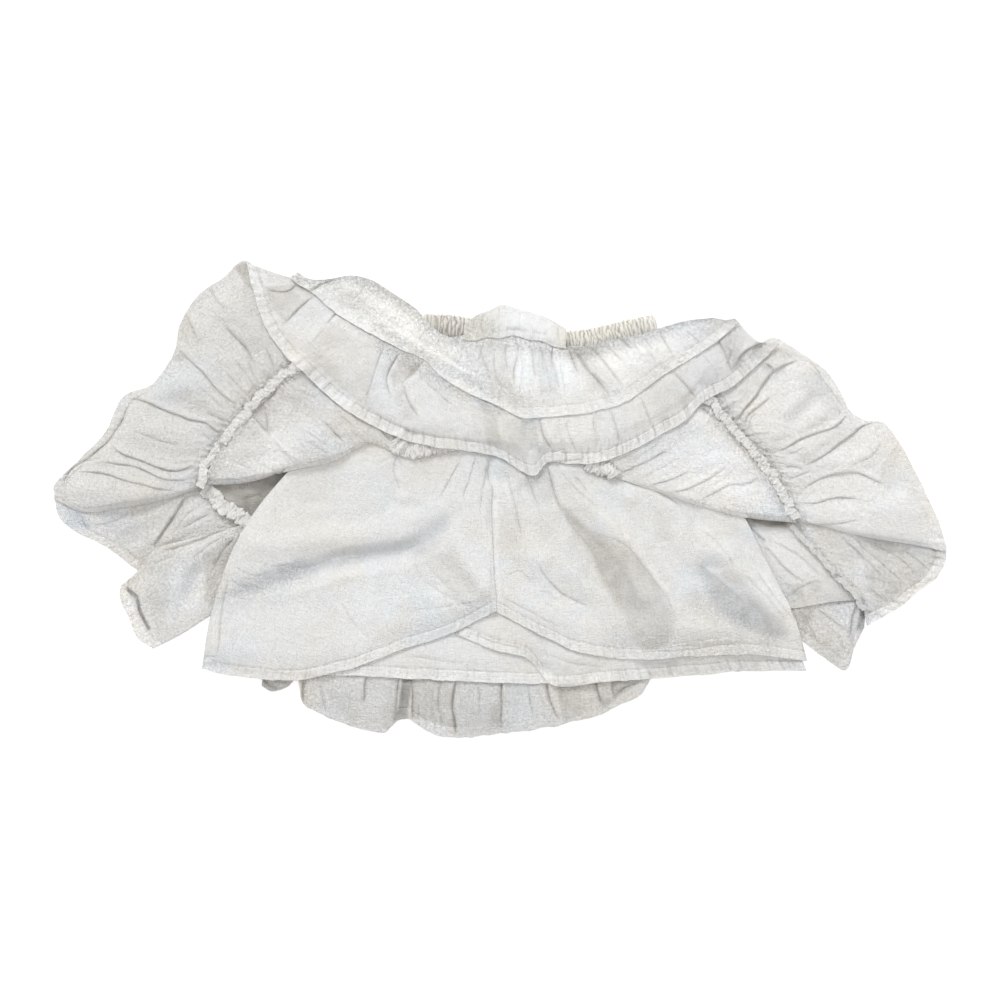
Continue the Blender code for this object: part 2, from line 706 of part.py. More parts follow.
def front_flounce_right(pile):
    """Front flounce at the right, wrong side up, its hem along the outer edge."""
    sections = [  # seam, middle, hem
        ((690, 388), (725, 366), (757, 346)),
        ((705, 398), (742, 370), (777, 337)),
        ((713, 404), (757, 377), (803, 353)),
        ((722, 413), (771, 388), (827, 370)),
        ((731, 425), (786, 403), (840, 388)),
        ((738, 432), (796, 418), (852, 411)),
        ((745, 439), (805, 430), (867, 420)),
        ((752, 446), (816, 443), (886, 423)),
        ((758, 453), (826, 457), (902, 445)),
        ((765, 463), (834, 472), (914, 467)),
        ((772, 473), (841, 488), (924, 487)),
        ((779, 486), (848, 503), (934, 508)),
        ((787, 502), (853, 519), (943, 530)),
        ((792, 513), (856, 529), (946, 543)),
        ((797, 522), (835, 530), (870, 538), (920, 546), (947, 552)),
    ]
    folds = [
        Fold(803, 358, 770, 378, -3.0, 5), Fold(770, 378, 734, 423, -3.0, 5),
        Fold(790, 352, 742, 385, 2.5, 7), Fold(810, 368, 745, 415, 3.5, 7),
        Fold(782, 388, 748, 415, -2.5, 5), Fold(748, 415, 743, 430, -2.0, 4),
        Fold(812, 363, 850, 410, -2.0, 5), Fold(822, 385, 765, 425, 3.0, 9),
        Fold(850, 418, 820, 432, -2.5, 5), Fold(820, 432, 776, 450, -3.0, 5),
        Fold(840, 408, 775, 440, 3.0, 7), Fold(877, 423, 835, 448, -2.5, 5),
        Fold(835, 448, 803, 466, -2.5, 5), Fold(866, 424, 790, 458, 2.5, 6),
        Fold(880, 440, 810, 470, 3.0, 9), Fold(800, 492, 825, 477, -2.5, 5),
        Fold(825, 477, 868, 476, -2.5, 5), Fold(868, 476, 892, 487, -2.0, 5),
        Fold(820, 462, 885, 470, 3.0, 8), Fold(800, 503, 850, 498, -2.5, 4),
        Fold(850, 498, 895, 487, -2.5, 5), Fold(805, 489, 880, 488, 2.5, 6),
        Fold(805, 523, 858, 521, -1.5, 4), Fold(815, 512, 930, 510, 3.0, 9),
        Fold(895, 450, 900, 500, 2.5, 8), Fold(912, 470, 928, 520, -1.5, 7),
    ]
    swells = [Swell(880, 515, 4.0, 50), Swell(800, 420, 2.0, 60)]
    plan = panel_plan(sections, hemmed(11), 25, round_last=True)
    lift = FLOUNCE_LOFT + fold_field(plan, folds) + swell_field(plan, swells)
    return lay(pile, "front_flounce_right", plan, lift * folded_edge(plan),
               hem_wall(plan), CLOTH)


def front_tier_left(pile):
    """Left half of the front base panel, wrong side up, folded back over the shorts."""
    sections = [  # gathered seam, middle, under the second ruffle
        ((305, 362), (338, 366), (376, 378)),
        ((290, 374), (330, 384), (390, 396)),
        ((264, 395), (322, 404), (398, 414)),
        ((245, 420), (312, 418), (402, 424)),
        ((224, 446), (302, 434), (402, 432)),
        ((211, 466), (292, 452), (350, 438), (401, 441)),
        ((202, 485), (245, 483), (290, 471), (335, 461), (372, 444), (400, 457)),
    ]
    folds = [
        Fold(262, 400, 268, 433, -2.0, 4), Fold(252, 416, 270, 434, -2.0, 4),
        Fold(268, 434, 308, 465, 3.0, 6), Fold(322, 420, 350, 446, -3.0, 5),
        Fold(312, 428, 340, 452, 2.5, 6), Fold(335, 416, 364, 440, 2.5, 7),
        Fold(285, 425, 322, 452, 1.5, 5), Fold(232, 455, 268, 474, 2.5, 7),
        Fold(240, 440, 262, 452, -1.5, 5), Fold(275, 392, 330, 404, 2.0, 9),
    ]
    swells = [Swell(320, 440, 9.0, 45), Swell(240, 460, 6.0, 30)]
    plan = panel_plan(sections, even(16), 9, round_last=True)
    lift = TIER_LOFT + fold_field(plan, folds) + swell_field(plan, swells)
    return lay(pile, "front_tier_left", plan, lift * folded_edge(plan, FOLD_LOFT),
               plain_wall(plan), CLOTH)


def front_tier_right(pile):
    """Right half of the front base panel, wrong side up, folded back over the shorts."""
    sections = [  # gathered seam, middle, under the second ruffle
        ((700, 396), (660, 402), (604, 416)),
        ((717, 409), (668, 421), (602, 432)),
        ((731, 426), (675, 440), (603, 445)),
        ((746, 441), (683, 456), (604, 455)),
        ((760, 458), (690, 470), (606, 463)),
        ((774, 479), (700, 484), (608, 468)),
        ((787, 503), (740, 503), (690, 494), (610, 472)),
        ((797, 523), (742, 517), (700, 506), (650, 489), (612, 477)),
    ]
    folds = [
        Fold(620, 473, 650, 460, -2.5, 4), Fold(650, 460, 674, 448, -2.5, 4),
        Fold(630, 462, 660, 447, 2.0, 6), Fold(645, 473, 690, 455, 2.5, 6),
        Fold(648, 485, 692, 470, -2.5, 4), Fold(668, 492, 728, 465, -2.5, 5),
        Fold(665, 482, 715, 464, 2.5, 6), Fold(700, 500, 745, 484, -2.5, 5),
        Fold(745, 484, 766, 473, -2.0, 4), Fold(698, 490, 742, 474, 2.5, 6),
        Fold(755, 502, 786, 505, -2.0, 4), Fold(730, 497, 778, 492, 2.5, 6),
        Fold(742, 440, 736, 448, -2.0, 4), Fold(700, 425, 720, 450, 2.5, 12),
    ]
    swells = [Swell(680, 460, 6.0, 45), Swell(750, 490, 4.0, 35)]
    plan = panel_plan(sections, even(16), 11, round_last=True)
    lift = TIER_LOFT + fold_field(plan, folds) + swell_field(plan, swells)
    return lay(pile, "front_tier_right", plan, lift * folded_edge(plan, FOLD_LOFT),
               plain_wall(plan), CLOTH)


def front_seams(pile):
    """The front's gathered seam, its allowance standing up in a ruched ridge."""
    left = [(307, 356), (294, 366), (279, 375), (265, 386), (255, 396), (246, 408),
            (237, 418), (228, 431), (217, 443), (208, 457), (202, 472), (199, 487)]
    right = [(700, 391), (712, 400), (724, 414), (737, 428), (750, 442), (761, 455),
             (771, 469), (780, 484), (788, 502), (796, 519)]
    centre_left = [(394, 440), (404, 447), (424, 447), (440, 445), (454, 440)]
    centre_right = [(600, 459), (607, 466), (612, 476)]
    stretches = (  # name, path, width and height against the usual ridge
        ("front_seam_left", left, 1.0, 1.0),
        ("front_seam_right", right, 1.0, 1.0),
        ("front_seam_centre_left", centre_left, 1.4, 1.0),
        ("front_seam_centre_right", centre_right, 1.3, 1.7),
    )
    for name, path, wide, high in stretches:
        lay_ridge(pile, name, path, RIDGE_WIDTH * wide, RIDGE_HEIGHT * high, RIDGE_PITCH, RIDGE)


def front_gathered_folds(pile):
    """The rest of the lifted front, pushed up in layers beneath the ruffles."""
    sections = [  # towards the waist, towards the hem
        ((350, 366), (356, 392)),
        ((375, 362), (380, 412)),
        ((420, 366), (422, 430)),
        ((480, 376), (480, 438)),
        ((545, 378), (545, 442)),
        ((600, 372), (592, 438)),
        ((650, 360), (640, 420)),
        ((690, 354), (680, 396)),
        ((706, 350), (700, 376)),
    ]
    plan = panel_plan(sections, even(6), 15)
    rim = np.minimum.reduce([from_edge(plan, k, last) for k in (0, 1) for last in (False, True)])
    thick = CORE_WALL + CORE_HEIGHT * quarter_round(rim, CORE_RIM)
    return lay(pile, "front_gathered_folds", plan, np.zeros(plan.shape[:2]), thick, CLOTH_SHADED)


# -- ruffles and waist ---------------------------------------------------------

def tier_2(pile):
    """Second ruffle: its tucks run from the hidden seam to the hem."""
    sections = [  # under the first ruffle, middle, hem
        ((316, 283), (282, 275), (246, 262)),
        ((328, 290), (288, 291), (253, 290)),
        ((342, 298), (300, 311), (264, 325)),
        ((355, 306), (318, 333), (285, 355)),
        ((368, 313), (338, 347), (303, 373)),
        ((381, 321), (353, 362), (322, 391)),
        ((393, 330), (369, 381), (348, 411)),
        ((403, 337), (391, 391), (378, 429)),
        ((416, 344), (411, 400), (402, 439)),
        ((434, 356), (436, 410), (434, 447)),
        ((457, 370), (462, 416), (466, 451)),
        ((481, 380), (490, 425), (500, 458)),
        ((505, 387), (512, 435), (518, 469)),
        ((525, 389), (530, 437), (535, 476)),
        ((541, 389), (545, 435), (547, 463)),
        ((562, 388), (567, 431), (569, 464)),
        ((589, 384), (594, 428), (594, 464)),
        ((615, 378), (624, 422), (626, 453)),
        ((637, 367), (649, 407), (655, 438)),
        ((658, 351), (673, 389), (683, 422)),
        ((680, 338), (696, 371), (704, 402)),
        ((697, 328), (719, 358), (735, 385)),
        ((716, 322), (742, 345), (760, 363)),
        ((735, 318), (759, 341), (778, 345)),
    ]
    folds = [
        Fold(290, 318, 312, 297, 3.0, 6), Fold(276, 312, 296, 288, -2.5, 7),
        Fold(337, 312, 328, 326, -2.5, 4), Fold(328, 326, 308, 348, -2.0, 4),
        Fold(348, 322, 324, 352, 2.5, 8), Fold(385, 342, 376, 372, 3.0, 6),
        Fold(376, 372, 366, 408, 3.0, 6), Fold(372, 350, 358, 392, -2.0, 6),
        Fold(403, 350, 388, 376, -3.0, 5), Fold(388, 376, 392, 402, -2.0, 4),
        Fold(425, 362, 406, 380, -3.0, 5), Fold(410, 362, 398, 392, 2.5, 5),
        Fold(422, 380, 455, 408, -1.5, 5), Fold(403, 382, 420, 420, -2.0, 5),
        Fold(412, 385, 432, 425, 2.0, 6), Fold(440, 385, 452, 440, 2.0, 9),
        Fold(488, 402, 484, 445, -1.5, 7), Fold(500, 412, 506, 452, 2.5, 7),
        Fold(526, 418, 533, 462, -3.5, 7), Fold(515, 418, 520, 462, 2.5, 6),
        Fold(538, 418, 546, 445, 3.0, 5), Fold(592, 413, 596, 446, 3.0, 4),
        Fold(600, 413, 606, 446, -2.0, 5), Fold(610, 410, 619, 445, 2.2, 5),
        Fold(560, 420, 566, 452, 1.5, 9), Fold(640, 398, 650, 430, 2.0, 8),
        Fold(672, 372, 694, 396, -2.0, 5), Fold(684, 362, 706, 388, 2.0, 7),
        Fold(717, 337, 732, 372, -2.5, 5), Fold(733, 371, 755, 346, -2.5, 5),
        Fold(742, 340, 766, 350, -2.0, 5), Fold(725, 345, 748, 366, 2.5, 5),
    ]
    swells = [Swell(300, 330, 3.0, 40), Swell(480, 430, 3.0, 50), Swell(700, 370, 3.0, 40)]
    plan = panel_plan(sections, hemmed(8), 42)
    lift = RUFFLE_LOFT + fold_field(plan, folds) + swell_field(plan, swells)
    return lay(pile, "tier_2", plan, lift * from_seam(plan), hem_wall(plan), CLOTH)


def tier_1(pile):
    """First ruffle, gathered into the waist seam, rolled at the upper left."""
    sections = [  # waist side, middle, hem
        ((297, 272), (293, 275), (289, 277)),
        ((311, 279), (306, 283), (301, 286)),
        ((327, 279), (320, 285), (313, 293)),
        ((350, 275), (337, 292), (325, 304)),
        ((372, 280), (357, 301), (340, 316)),
        ((393, 293), (375, 313), (357, 327)),
        ((415, 308), (397, 326), (378, 338)),
        ((434, 328), (419, 343), (402, 350)),
        ((450, 337), (438, 352), (425, 361)),
        ((464, 335), (453, 357), (440, 376)),
        ((474, 334), (466, 363), (456, 387)),
        ((484, 334), (481, 368), (478, 398)),
        ((496, 334), (497, 374), (499, 407)),
        ((512, 335), (515, 380), (520, 418)),
        ((531, 337), (536, 380), (542, 417)),
        ((551, 341), (558, 380), (566, 416)),
        ((569, 347), (582, 382), (593, 412)),
        ((587, 346), (606, 378), (619, 406)),
        ((606, 341), (627, 369), (642, 392)),
        ((626, 337), (647, 359), (663, 376)),
        ((646, 333), (668, 350), (685, 363)),
        ((664, 327), (689, 340), (707, 348)),
        ((686, 321), (708, 330), (723, 336)),
        ((713, 318), (725, 320), (739, 323)),
    ]
    folds = [
        Fold(395, 300, 433, 334, 4.0, 8), Fold(433, 334, 470, 366, 4.0, 8),
        Fold(470, 366, 515, 400, 3.5, 9), Fold(340, 288, 395, 318, 2.0, 9),
        Fold(452, 342, 492, 366, -2.0, 7), Fold(515, 350, 514, 386, -2.0, 4),
        Fold(505, 350, 504, 382, 1.8, 5), Fold(530, 346, 536, 382, -2.0, 4),
        Fold(523, 350, 525, 392, 2.0, 5), Fold(554, 344, 553, 362, -2.5, 4),
        Fold(553, 362, 560, 394, -2.0, 4), Fold(543, 350, 546, 400, 2.0, 6),
        Fold(567, 348, 580, 376, -2.0, 4), Fold(563, 355, 572, 398, 2.0, 5),
        Fold(573, 350, 592, 374, -2.5, 4), Fold(592, 374, 612, 399, -2.5, 4),
        Fold(584, 350, 612, 384, 2.0, 5), Fold(598, 352, 622, 388, -2.0, 4),
        Fold(610, 350, 640, 382, 2.2, 6), Fold(620, 338, 631, 348, -2.0, 4),
        Fold(640, 342, 664, 366, 2.0, 7), Fold(661, 336, 672, 356, -1.8, 4),
        Fold(680, 330, 700, 346, 2.0, 8),
    ]
    swells = [Swell(360, 300, 3.0, 35), Swell(540, 395, 3.0, 45), Swell(650, 360, 2.5, 40)]
    plan = panel_plan(sections, hemmed(8), 40)
    lift = RUFFLE_LOFT + fold_field(plan, folds) + swell_field(plan, swells)
    return lay(pile, "tier_1", plan, lift * from_seam(plan), hem_wall(plan), CLOTH)


def waistband_front(pile):
    """Flat front waistband, sewn over the first ruffle's gathers."""
    sections = [  # upper edge, seam edge
        ((464, 326), (463, 339)),
        ((475, 316), (475, 339)),
        ((488, 311), (487, 339)),
        ((502, 305), (500, 339)),
        ((515, 308), (512, 340)),
        ((530, 312), (527, 342)),
        ((545, 317), (542, 345)),
        ((556, 322), (556, 348)),
        ((568, 330), (569, 352)),
    ]
    folds = [Fold(496, 312, 498, 334, 1.2, 5), Fold(520, 312, 520, 336, -0.8, 4)]
    plan = panel_plan(sections, even(5), 13)
    lift = BAND_LOFT + fold_field(plan, folds)
    wall = np.full(plan.shape[:2], BAND_WALL)
    return lay(pile, "waistband_front", plan, lift * from_seam(plan, last=True), wall, CREAM)


# Laying order, lowest first
PIECES = (
    back_flounce_right_under, back_flounce_left_outer, back_flounce_centre, back_tier,
    back_flounce_left_inner, back_flounce_right, back_seams, waistband_back,
    shorts_back_left, shorts_back_right, shorts_front_right, shorts_front_left,
    front_flounce_left, front_flounce_right, front_tier_left, front_tier_right,
    front_seams, front_gathered_folds, tier_2, tier_1, waistband_front,
)


def centre_on_floor(solids):
    """Shift the garment so that its box stands centred on the origin."""
    corners = np.array([v.co[:] for solid in solids for v in solid.data.vertices])
    low, high = corners.min(axis=0), corners.max(axis=0)
    shift = np.array([(low[0] + high[0]) / 2, (low[1] + high[1]) / 2, low[2]])
    for solid in solids:
        for vertex in solid.data.vertices:
            vertex.co = vertex.co[:] - shift


def build():
    for old in list(bpy.data.objects):
        bpy.data.objects.remove(old, do_unlink=True)
    pile = Pile()
    for lay_piece in PIECES:
        lay_piece(pile)
    centre_on_floor(list(bpy.context.scene.collection.objects))


build()
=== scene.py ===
# Tiered ruffle skirt with built-in shorts, laid flat with its front lifted.
# Places on the table are in millimetres: x from the left, y from the far side towards the viewer.
import bpy
import math
import numpy as np
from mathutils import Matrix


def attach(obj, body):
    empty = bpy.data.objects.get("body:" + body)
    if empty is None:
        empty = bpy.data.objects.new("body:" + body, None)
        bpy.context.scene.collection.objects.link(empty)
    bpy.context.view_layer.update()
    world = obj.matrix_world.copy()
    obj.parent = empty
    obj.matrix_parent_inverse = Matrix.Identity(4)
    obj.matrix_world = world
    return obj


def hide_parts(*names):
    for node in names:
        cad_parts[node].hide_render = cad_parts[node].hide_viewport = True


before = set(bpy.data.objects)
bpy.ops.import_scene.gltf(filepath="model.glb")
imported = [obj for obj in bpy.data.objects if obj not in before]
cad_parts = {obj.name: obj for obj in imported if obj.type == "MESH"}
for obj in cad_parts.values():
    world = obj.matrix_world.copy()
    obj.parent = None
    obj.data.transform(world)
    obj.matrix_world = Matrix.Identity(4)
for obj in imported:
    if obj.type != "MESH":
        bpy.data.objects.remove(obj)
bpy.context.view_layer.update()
print("frame loaded:", len(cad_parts), "nodes")

table = {
    "centre": (499.5, 499.0),  # the place on the table that is the model's origin
    "size": 1000,              # side of the height map, one cell a millimetre
    "gap": 0.2,                # air between two layers
    "blur": 5,                 # softening of the solid's own facets
}
cloth = {
    "coveredStep": 7.0,        # mesh spacing where the cloth is covered
    "underStep": 3,            # the underside's spacing, in steps
    "thinnest": 0.3,           # thickness that is kept over a hump
    "steepest": 0.6,           # least upward part that the wall's height is worked out with
    "foldRadius": 8.0,         # rounding of a folded edge
    "foldRows": (0.75, 0.5, 0.28, 0.12, 0.03),  # mesh rows close to a folded edge, in radii
    "drawnReach": 14.0,        # how far a gathered seam draws the cloth together
    "rucheSize": 4.8,          # size of the small folds at a gathered seam
    "fineShare": 0.35,         # size of the finer crumple within the large one
    "crinkleSize": 4.6,        # size and height of the finest crinkle
    "crinkleHeight": 0.45,
    "grey": 3.2,               # how much the painted shade of a grey facet darkens, against the painted light that a light one adds
    "fullness": 1.1,           # cloth in the gathers that are too fine to model
}
hem = {
    "width": 12.0,             # width of the turned hem
    "mostShare": 0.4,          # its largest share of a short row
    "restReach": 30.0,         # how far from it the cloth comes down on what is under it
    "rows": (0, 0.06, 0.11, 0.16, 0.22, 0.3, 0.4, 0.5, 0.6, 0.7, 0.8, 0.88, 0.94, 0.98, 1),
    "groove": 1.3,             # depth of the stitched line
    "roll": 0.55,              # rounding of the free edge
    "tuckPitch": 6.0,          # small tucks at the stitches
    "tuckWidth": 1.1,
    # painted shade in the tucks and along the stitched line
    "tuckShade": 0.5,
    "stitchShade": 0.22,
}
stitches = {
    "inset": 1.5,              # from the inner edge of the turned hem
    "lift": 0.12,              # above the cloth
    "pitch": 3.4,
    "length": 2.6,
    "thickness": 0.6,
}
plainPiece = {  # what a piece of cloth has unless it says more
    "hem": False,              # a turned hem along its last column
    "folded": False,           # its last row is a fold
    "covered": 0.0,            # share of its length that is under other layers
    "step": 1.35,              # mesh spacing where it shows
    "wall": 0.9,               # thickness of one layer
    "settle": 8,               # passes that let it fall between its supports
    "puff": 1.4,               # fullness against the solid
    "lift": 0.12,              # share of its height that the free edge keeps
    "restReach": 0.0,          # how far from an edge without a hem it comes down
    "gathers": (),             # rolls from the seam: pitch, height, reach, seed and start
    "creases": (),             # kind, size, width and line
    "scatter": (0, 1, 0, 0),   # number, length, depth and spread of small creases
    "ruche": 0.0,              # small folds at the gathered seam
    "ripple": 0.8,             # waver of the free edge
    "hemStep": 0.9,            # height of the doubled hem, of its puckers and of its tucks
    "pucker": 0.45,
    "cuts": 0.8,
    "hemShown": ((0, 0, 1),),  # places along the hem, and how far it shows there
    "rough": 0.1,              # crinkle of the whole piece
    "patches": (),             # more crinkled places: strength, reach and line
    "paintedLight": 0.0,             # painted light over the whole piece (painted shade below zero), painted warm shade over it, and painted shade in its creases
    "paintedWarmShade": 0.0,
    "paintedCreaseShade": 0.5,
    "paintedShadeLines": (),               # painted warm shade or, below zero, painted cool shade: strength, reach and line
    "facets": (),              # painted light (light facets) and painted shade (grey, warm and cool facets): kind, strength, softness and outline
}
plainRidge = {  # what a gathered ridge has unless it says more
    "jitter": 0.0,             # how far its path wanders
    "groove": 0.4,             # painted shade in its troughs
    "dusk": 0.0,               # painted shade at its start
    "lumpScale": 300.0,
}


# curves and grids

def smooth(t):
    t = np.clip(t, 0.0, 1.0)
    return t * t * (3.0 - 2.0 * t)


def bell(x, centre, spread):
    return np.exp(-((x - centre) / spread) ** 2)


def pairs(numbers):
    # the points of a table's row, which holds x and y in turn
    return np.reshape(np.asarray(numbers, float), (-1, 2))


def runOf(points):
    # distance along a line, up to each of its points
    steps = np.linalg.norm(np.diff(points, axis=0), axis=1)
    return np.concatenate([[0.0], np.cumsum(steps)])


def readCurve(values, knots, at):
    # smooth curve through values, which may be points or whole rows of points
    shape = (-1,) + (1,) * (values.ndim - 1)
    if len(knots) > 2:
        slopes = np.gradient(values, knots, axis=0)
    else:
        slopes = np.repeat((values[1:] - values[:1]) / (knots[1] - knots[0]), 2, axis=0)
    low = np.clip(np.searchsorted(knots, at, side="right") - 1, 0, len(knots) - 2)
    step = (knots[low + 1] - knots[low]).reshape(shape)
    t = (at - knots[low]).reshape(shape) / step
    rise = t * t * (3 - 2 * t)
    return (values[low] * (1 - rise) + values[low + 1] * rise
            + slopes[low] * step * t * (1 - t) ** 2 - slopes[low + 1] * step * t * t * (1 - t))


def readSection(points, places):
    # points at even places along a smooth curve through the section
    fine = readCurve(points, runOf(points), np.linspace(0, runOf(points)[-1], 240))
    run = runOf(fine)
    wanted = places(run[-1]) * run[-1]
    return np.stack([np.interp(wanted, run, fine[:, k]) for k in range(2)], axis=1)


def panelGrid(piece):
    # rows of points across the panel: coarse where it is covered, fine where it shows
    sections = [pairs(row) for row in piece["sections"]]
    longest = max(runOf(points)[-1] for points in sections)
    step, covered = piece["step"], piece["covered"]
    width = hem["width"] if piece["hem"] else 0.0
    few = int(longest * covered / cloth["coveredStep"])
    many = int((longest * (1 - covered) - width) / step) + 1

    def places(length):
        turned = 1 - min(width / length, hem["mostShare"])
        parts = [np.linspace(0, covered, few, endpoint=False)] if few else []
        parts.append(np.linspace(covered, turned, many, endpoint=not width))
        if width:
            parts.append(turned + (1 - turned) * np.array(hem["rows"]))
        return np.concatenate(parts)

    read = np.stack([readSection(points, places) for points in sections])
    spacing = np.linalg.norm(np.diff(read, axis=0), axis=2).mean(axis=1)
    knots = np.concatenate([[0.0], np.cumsum(spacing)])
    at = np.linspace(0, knots[-1], int(knots[-1] / step) + 2)
    if piece["folded"]:
        close = cloth["foldRadius"] * np.array(cloth["foldRows"])
        at = np.sort(np.unique(np.concatenate([at, knots[-1] - close])))
    return readCurve(read, knots, at)


def fromEdge(grid, axis, last):
    # distance of each point from the first or the last row or column
    turned = grid if axis == 0 else grid.transpose(1, 0, 2)
    turned = turned[::-1] if last else turned
    steps = np.linalg.norm(np.diff(turned, axis=0), axis=2)
    run = np.concatenate([np.zeros((1, turned.shape[1])), np.cumsum(steps, axis=0)])
    run = run[::-1] if last else run
    return run if axis == 0 else run.T


def fromSeam(grid):
    return fromEdge(grid, 1, last=False)


def fromHem(grid):
    return fromEdge(grid, 1, last=True)


# uneven patterns

def noise(x, y, seed):
    # smooth noise between -1 and 1, read from a table of seeded values
    values = np.random.RandomState(seed).rand(97, 97)
    column, row = np.floor(x).astype(int), np.floor(y).astype(int)
    u, v = smooth(x - column), smooth(y - row)

    def read(r, c):
        return values[r % 97, c % 97]

    near = read(row, column) * (1 - u) + read(row, column + 1) * u
    far = read(row + 1, column) * (1 - u) + read(row + 1, column + 1) * u
    return 2 * (near * (1 - v) + far * v) - 1


def crumple(x, y, size, seed):
    # soft facets with sharper lines between them, as in creased cotton
    bend = 0.35 * size * noise(x / size, y / size, seed + 7)
    fold = 1 - 2 * np.abs(noise((x + bend) / size, (y - bend) / size, seed))
    fine = 1 - 2 * np.abs(noise((y + bend) / (size * 0.47), (x - bend) / (size * 0.47), seed + 3))
    return 0.65 * fold + 0.35 * fine


def nearLine(spots, points):
    # for each spot: the distance to a line, its share of the length, its side, the way to it, and the length
    run = runOf(points)
    spots = spots + 0.6 * np.stack([noise(*(spots.T / 12), int(seed)) for seed in points[0, ::-1]], axis=1)
    best = np.full(len(spots), 1e9)
    along, side = np.zeros(len(spots)), np.zeros(len(spots))
    away = np.zeros((len(spots), 2))
    for a, b, start in zip(points[:-1], points[1:], run):
        way = b - a
        length = np.linalg.norm(way)
        t = np.clip((spots - a) @ way / length ** 2, 0, 1)
        gap = spots - a - t[:, None] * way
        distance = np.linalg.norm(gap, axis=1)
        closer = distance < best
        best = np.where(closer, distance, best)
        along = np.where(closer, (start + t * length) / run[-1], along)
        side = np.where(closer, np.sign(way[0] * gap[:, 1] - way[1] * gap[:, 0]), side)
        away = np.where(closer[:, None], gap, away)
    return best, along, side, away, run[-1]


def rounded(points):
    # the same line, drawn smoothly through its points
    if len(points) < 3:
        return points
    run = runOf(points)
    return readCurve(points, run, np.linspace(0, run[-1], int(run[-1] / 7) + 2))


def nearby(grid, points, margin):
    return ((grid > points.min(axis=0) - margin) & (grid < points.max(axis=0) + margin)).all(axis=2)


def drawMesh(grid, creases, reach=7.0, least=0.34):
    # moves the mesh lines closer together along each crease, so that it stays sharp
    grid = grid.copy()
    inner = smooth(np.minimum(fromHem(grid), fromSeam(grid)) / 6.0)
    for kind, _, _, *numbers in creases:
        points = rounded(pairs(numbers))
        near = nearby(grid, points, reach)
        if near.any() and kind != "valley":
            best, along, _, away, _ = nearLine(grid[near], points)
            ends = smooth(along / 0.1) * smooth((1 - along) / 0.1) * inner[near]
            pull = (1 - least) * (1 - smooth(best / reach)) * ends * (best < reach)
            grid[near] -= away * pull[:, None]
    return grid


def creaseShape(kind, size, far, side):
    # height of a crease and the shade painted along it, at places whose distance is given in its widths
    if kind in ("lap", "tuck"):
        inward = far * side
        past = np.clip(inward, 0, None)
        high = (1 - np.exp(-past / 0.4)) * np.exp(-past / 4.5)
        low = np.exp(-np.clip(-inward, 0, None) / 1.2) * (inward <= 0)
        return abs(size) * (1.4 * high - 0.4 * low), abs(size) / 4 * np.exp(-np.abs(inward + 0.3) / 0.7)
    if kind == "ridge":
        return size * (np.exp(-far) - 0.25 * bell(far, 3, 2)), 0 * far
    if kind == "valley":
        return -size * (bell(far, 0, 1) - 0.3 * bell(far, 1.6, 0.7)), 0 * far
    return size * (0.25 * bell(far, 3.4, 2.8) - np.exp(-far / 0.55)), size / 4 * np.exp(-far / 0.6)


def creaseField(grid, creases):
    # fold: a sharp trough, valley: a broad soft trough, ridge: a raised line,
    # lap: one side lies over the other, the far side on top if its size is above zero,
    # tuck: the same, with the right of its way on top if its size is above zero
    field, paintedShading = np.zeros(grid.shape[:2]), np.zeros(grid.shape[:2])
    for kind, size, width, *numbers in creases:
        points = rounded(pairs(numbers))
        margin = width * {"tuck": 22, "lap": 16, "valley": 3}.get(kind, 9)
        near = nearby(grid, points, margin)
        if not near.any():
            continue
        best, along, side, _, length = nearLine(grid[near], points)
        taper = smooth(along / 0.25) * smooth((1 - along) / 0.25) * 0.92 + 0.08
        taper *= 1 + 0.3 * noise(along * length / 11.0, along * 0, int(points[0, 0]))
        rightward = kind == "lap" and points[-1, 0] > points[0, 0]
        top = np.sign(size) * (-1 if rightward else 1)
        shape, shade = creaseShape(kind, size, best / width, side * top)
        field[near] += shape * taper * smooth((margin - best) / (0.4 * margin))
        # painted shade along the crease
        paintedShading[near] = np.maximum(paintedShading[near], shade * taper)
    return field, paintedShading


def smallCreases(grid, scatter, seed):
    # short fine creases of uneven length and depth, turned from the line of the gathers by the spread at most
    count, length, size, spread = scatter
    rng = np.random.RandomState(seed)
    rows, columns = grid.shape[:2]
    found = []
    for _ in range(count):
        r, c = rng.randint(1, rows - 1), rng.randint(1, columns - 1)
        way = grid[r, c + 1] - grid[r, c - 1]
        turn = math.atan2(way[1], way[0]) + spread * rng.uniform(-1, 1)
        bend = rng.uniform(-0.5, 0.5)
        long = length * rng.uniform(0.4, 1.4) / 2
        line = [grid[r, c] + long * k * np.array([math.cos(turn + k * bend), math.sin(turn + k * bend)])
                for k in (-1, -0.35, 0.35, 1)]
        found.append(("fold", size * rng.uniform(0.35, 1.2), rng.uniform(0.8, 1.4), *np.ravel(line)))
    return found


def gatherField(grid, pitch, height, reach, seed, start=0.0):
    # rolls between sharp troughs that fan out from the first column and fade, each of its own size
    run = fromEdge(grid, 0, last=False)[:, :1]
    rng = np.random.RandomState(seed)
    troughs = np.cumsum(pitch * rng.uniform(0.45, 1.6, int(run[-1, 0] / pitch * 1.4) + 4)) - pitch
    sizes = rng.uniform(0.5, 1.25, len(troughs))
    reaches = reach * rng.uniform(0.5, 1.5, len(troughs))
    past = np.clip(fromSeam(grid) - start, 0, None)
    sway = 0.45 * pitch * noise(run / (2.5 * pitch), past / (0.6 * reach), seed + 40)
    place = run + sway * smooth(past / reach)
    k = np.clip(np.searchsorted(troughs, place) - 1, 0, len(troughs) - 2)
    wide = troughs[k + 1] - troughs[k]
    t = np.clip((place - troughs[k]) / wide, 0, 1)
    sharp = 0.55 + 0.9 * smooth(past / (1.2 * reach))
    fade = np.exp(-(past / reaches[k]) ** 1.3)
    return height * sizes[k] * np.sin(np.pi * t) ** sharp * fade * np.minimum(wide / pitch, 1.3)


# heights

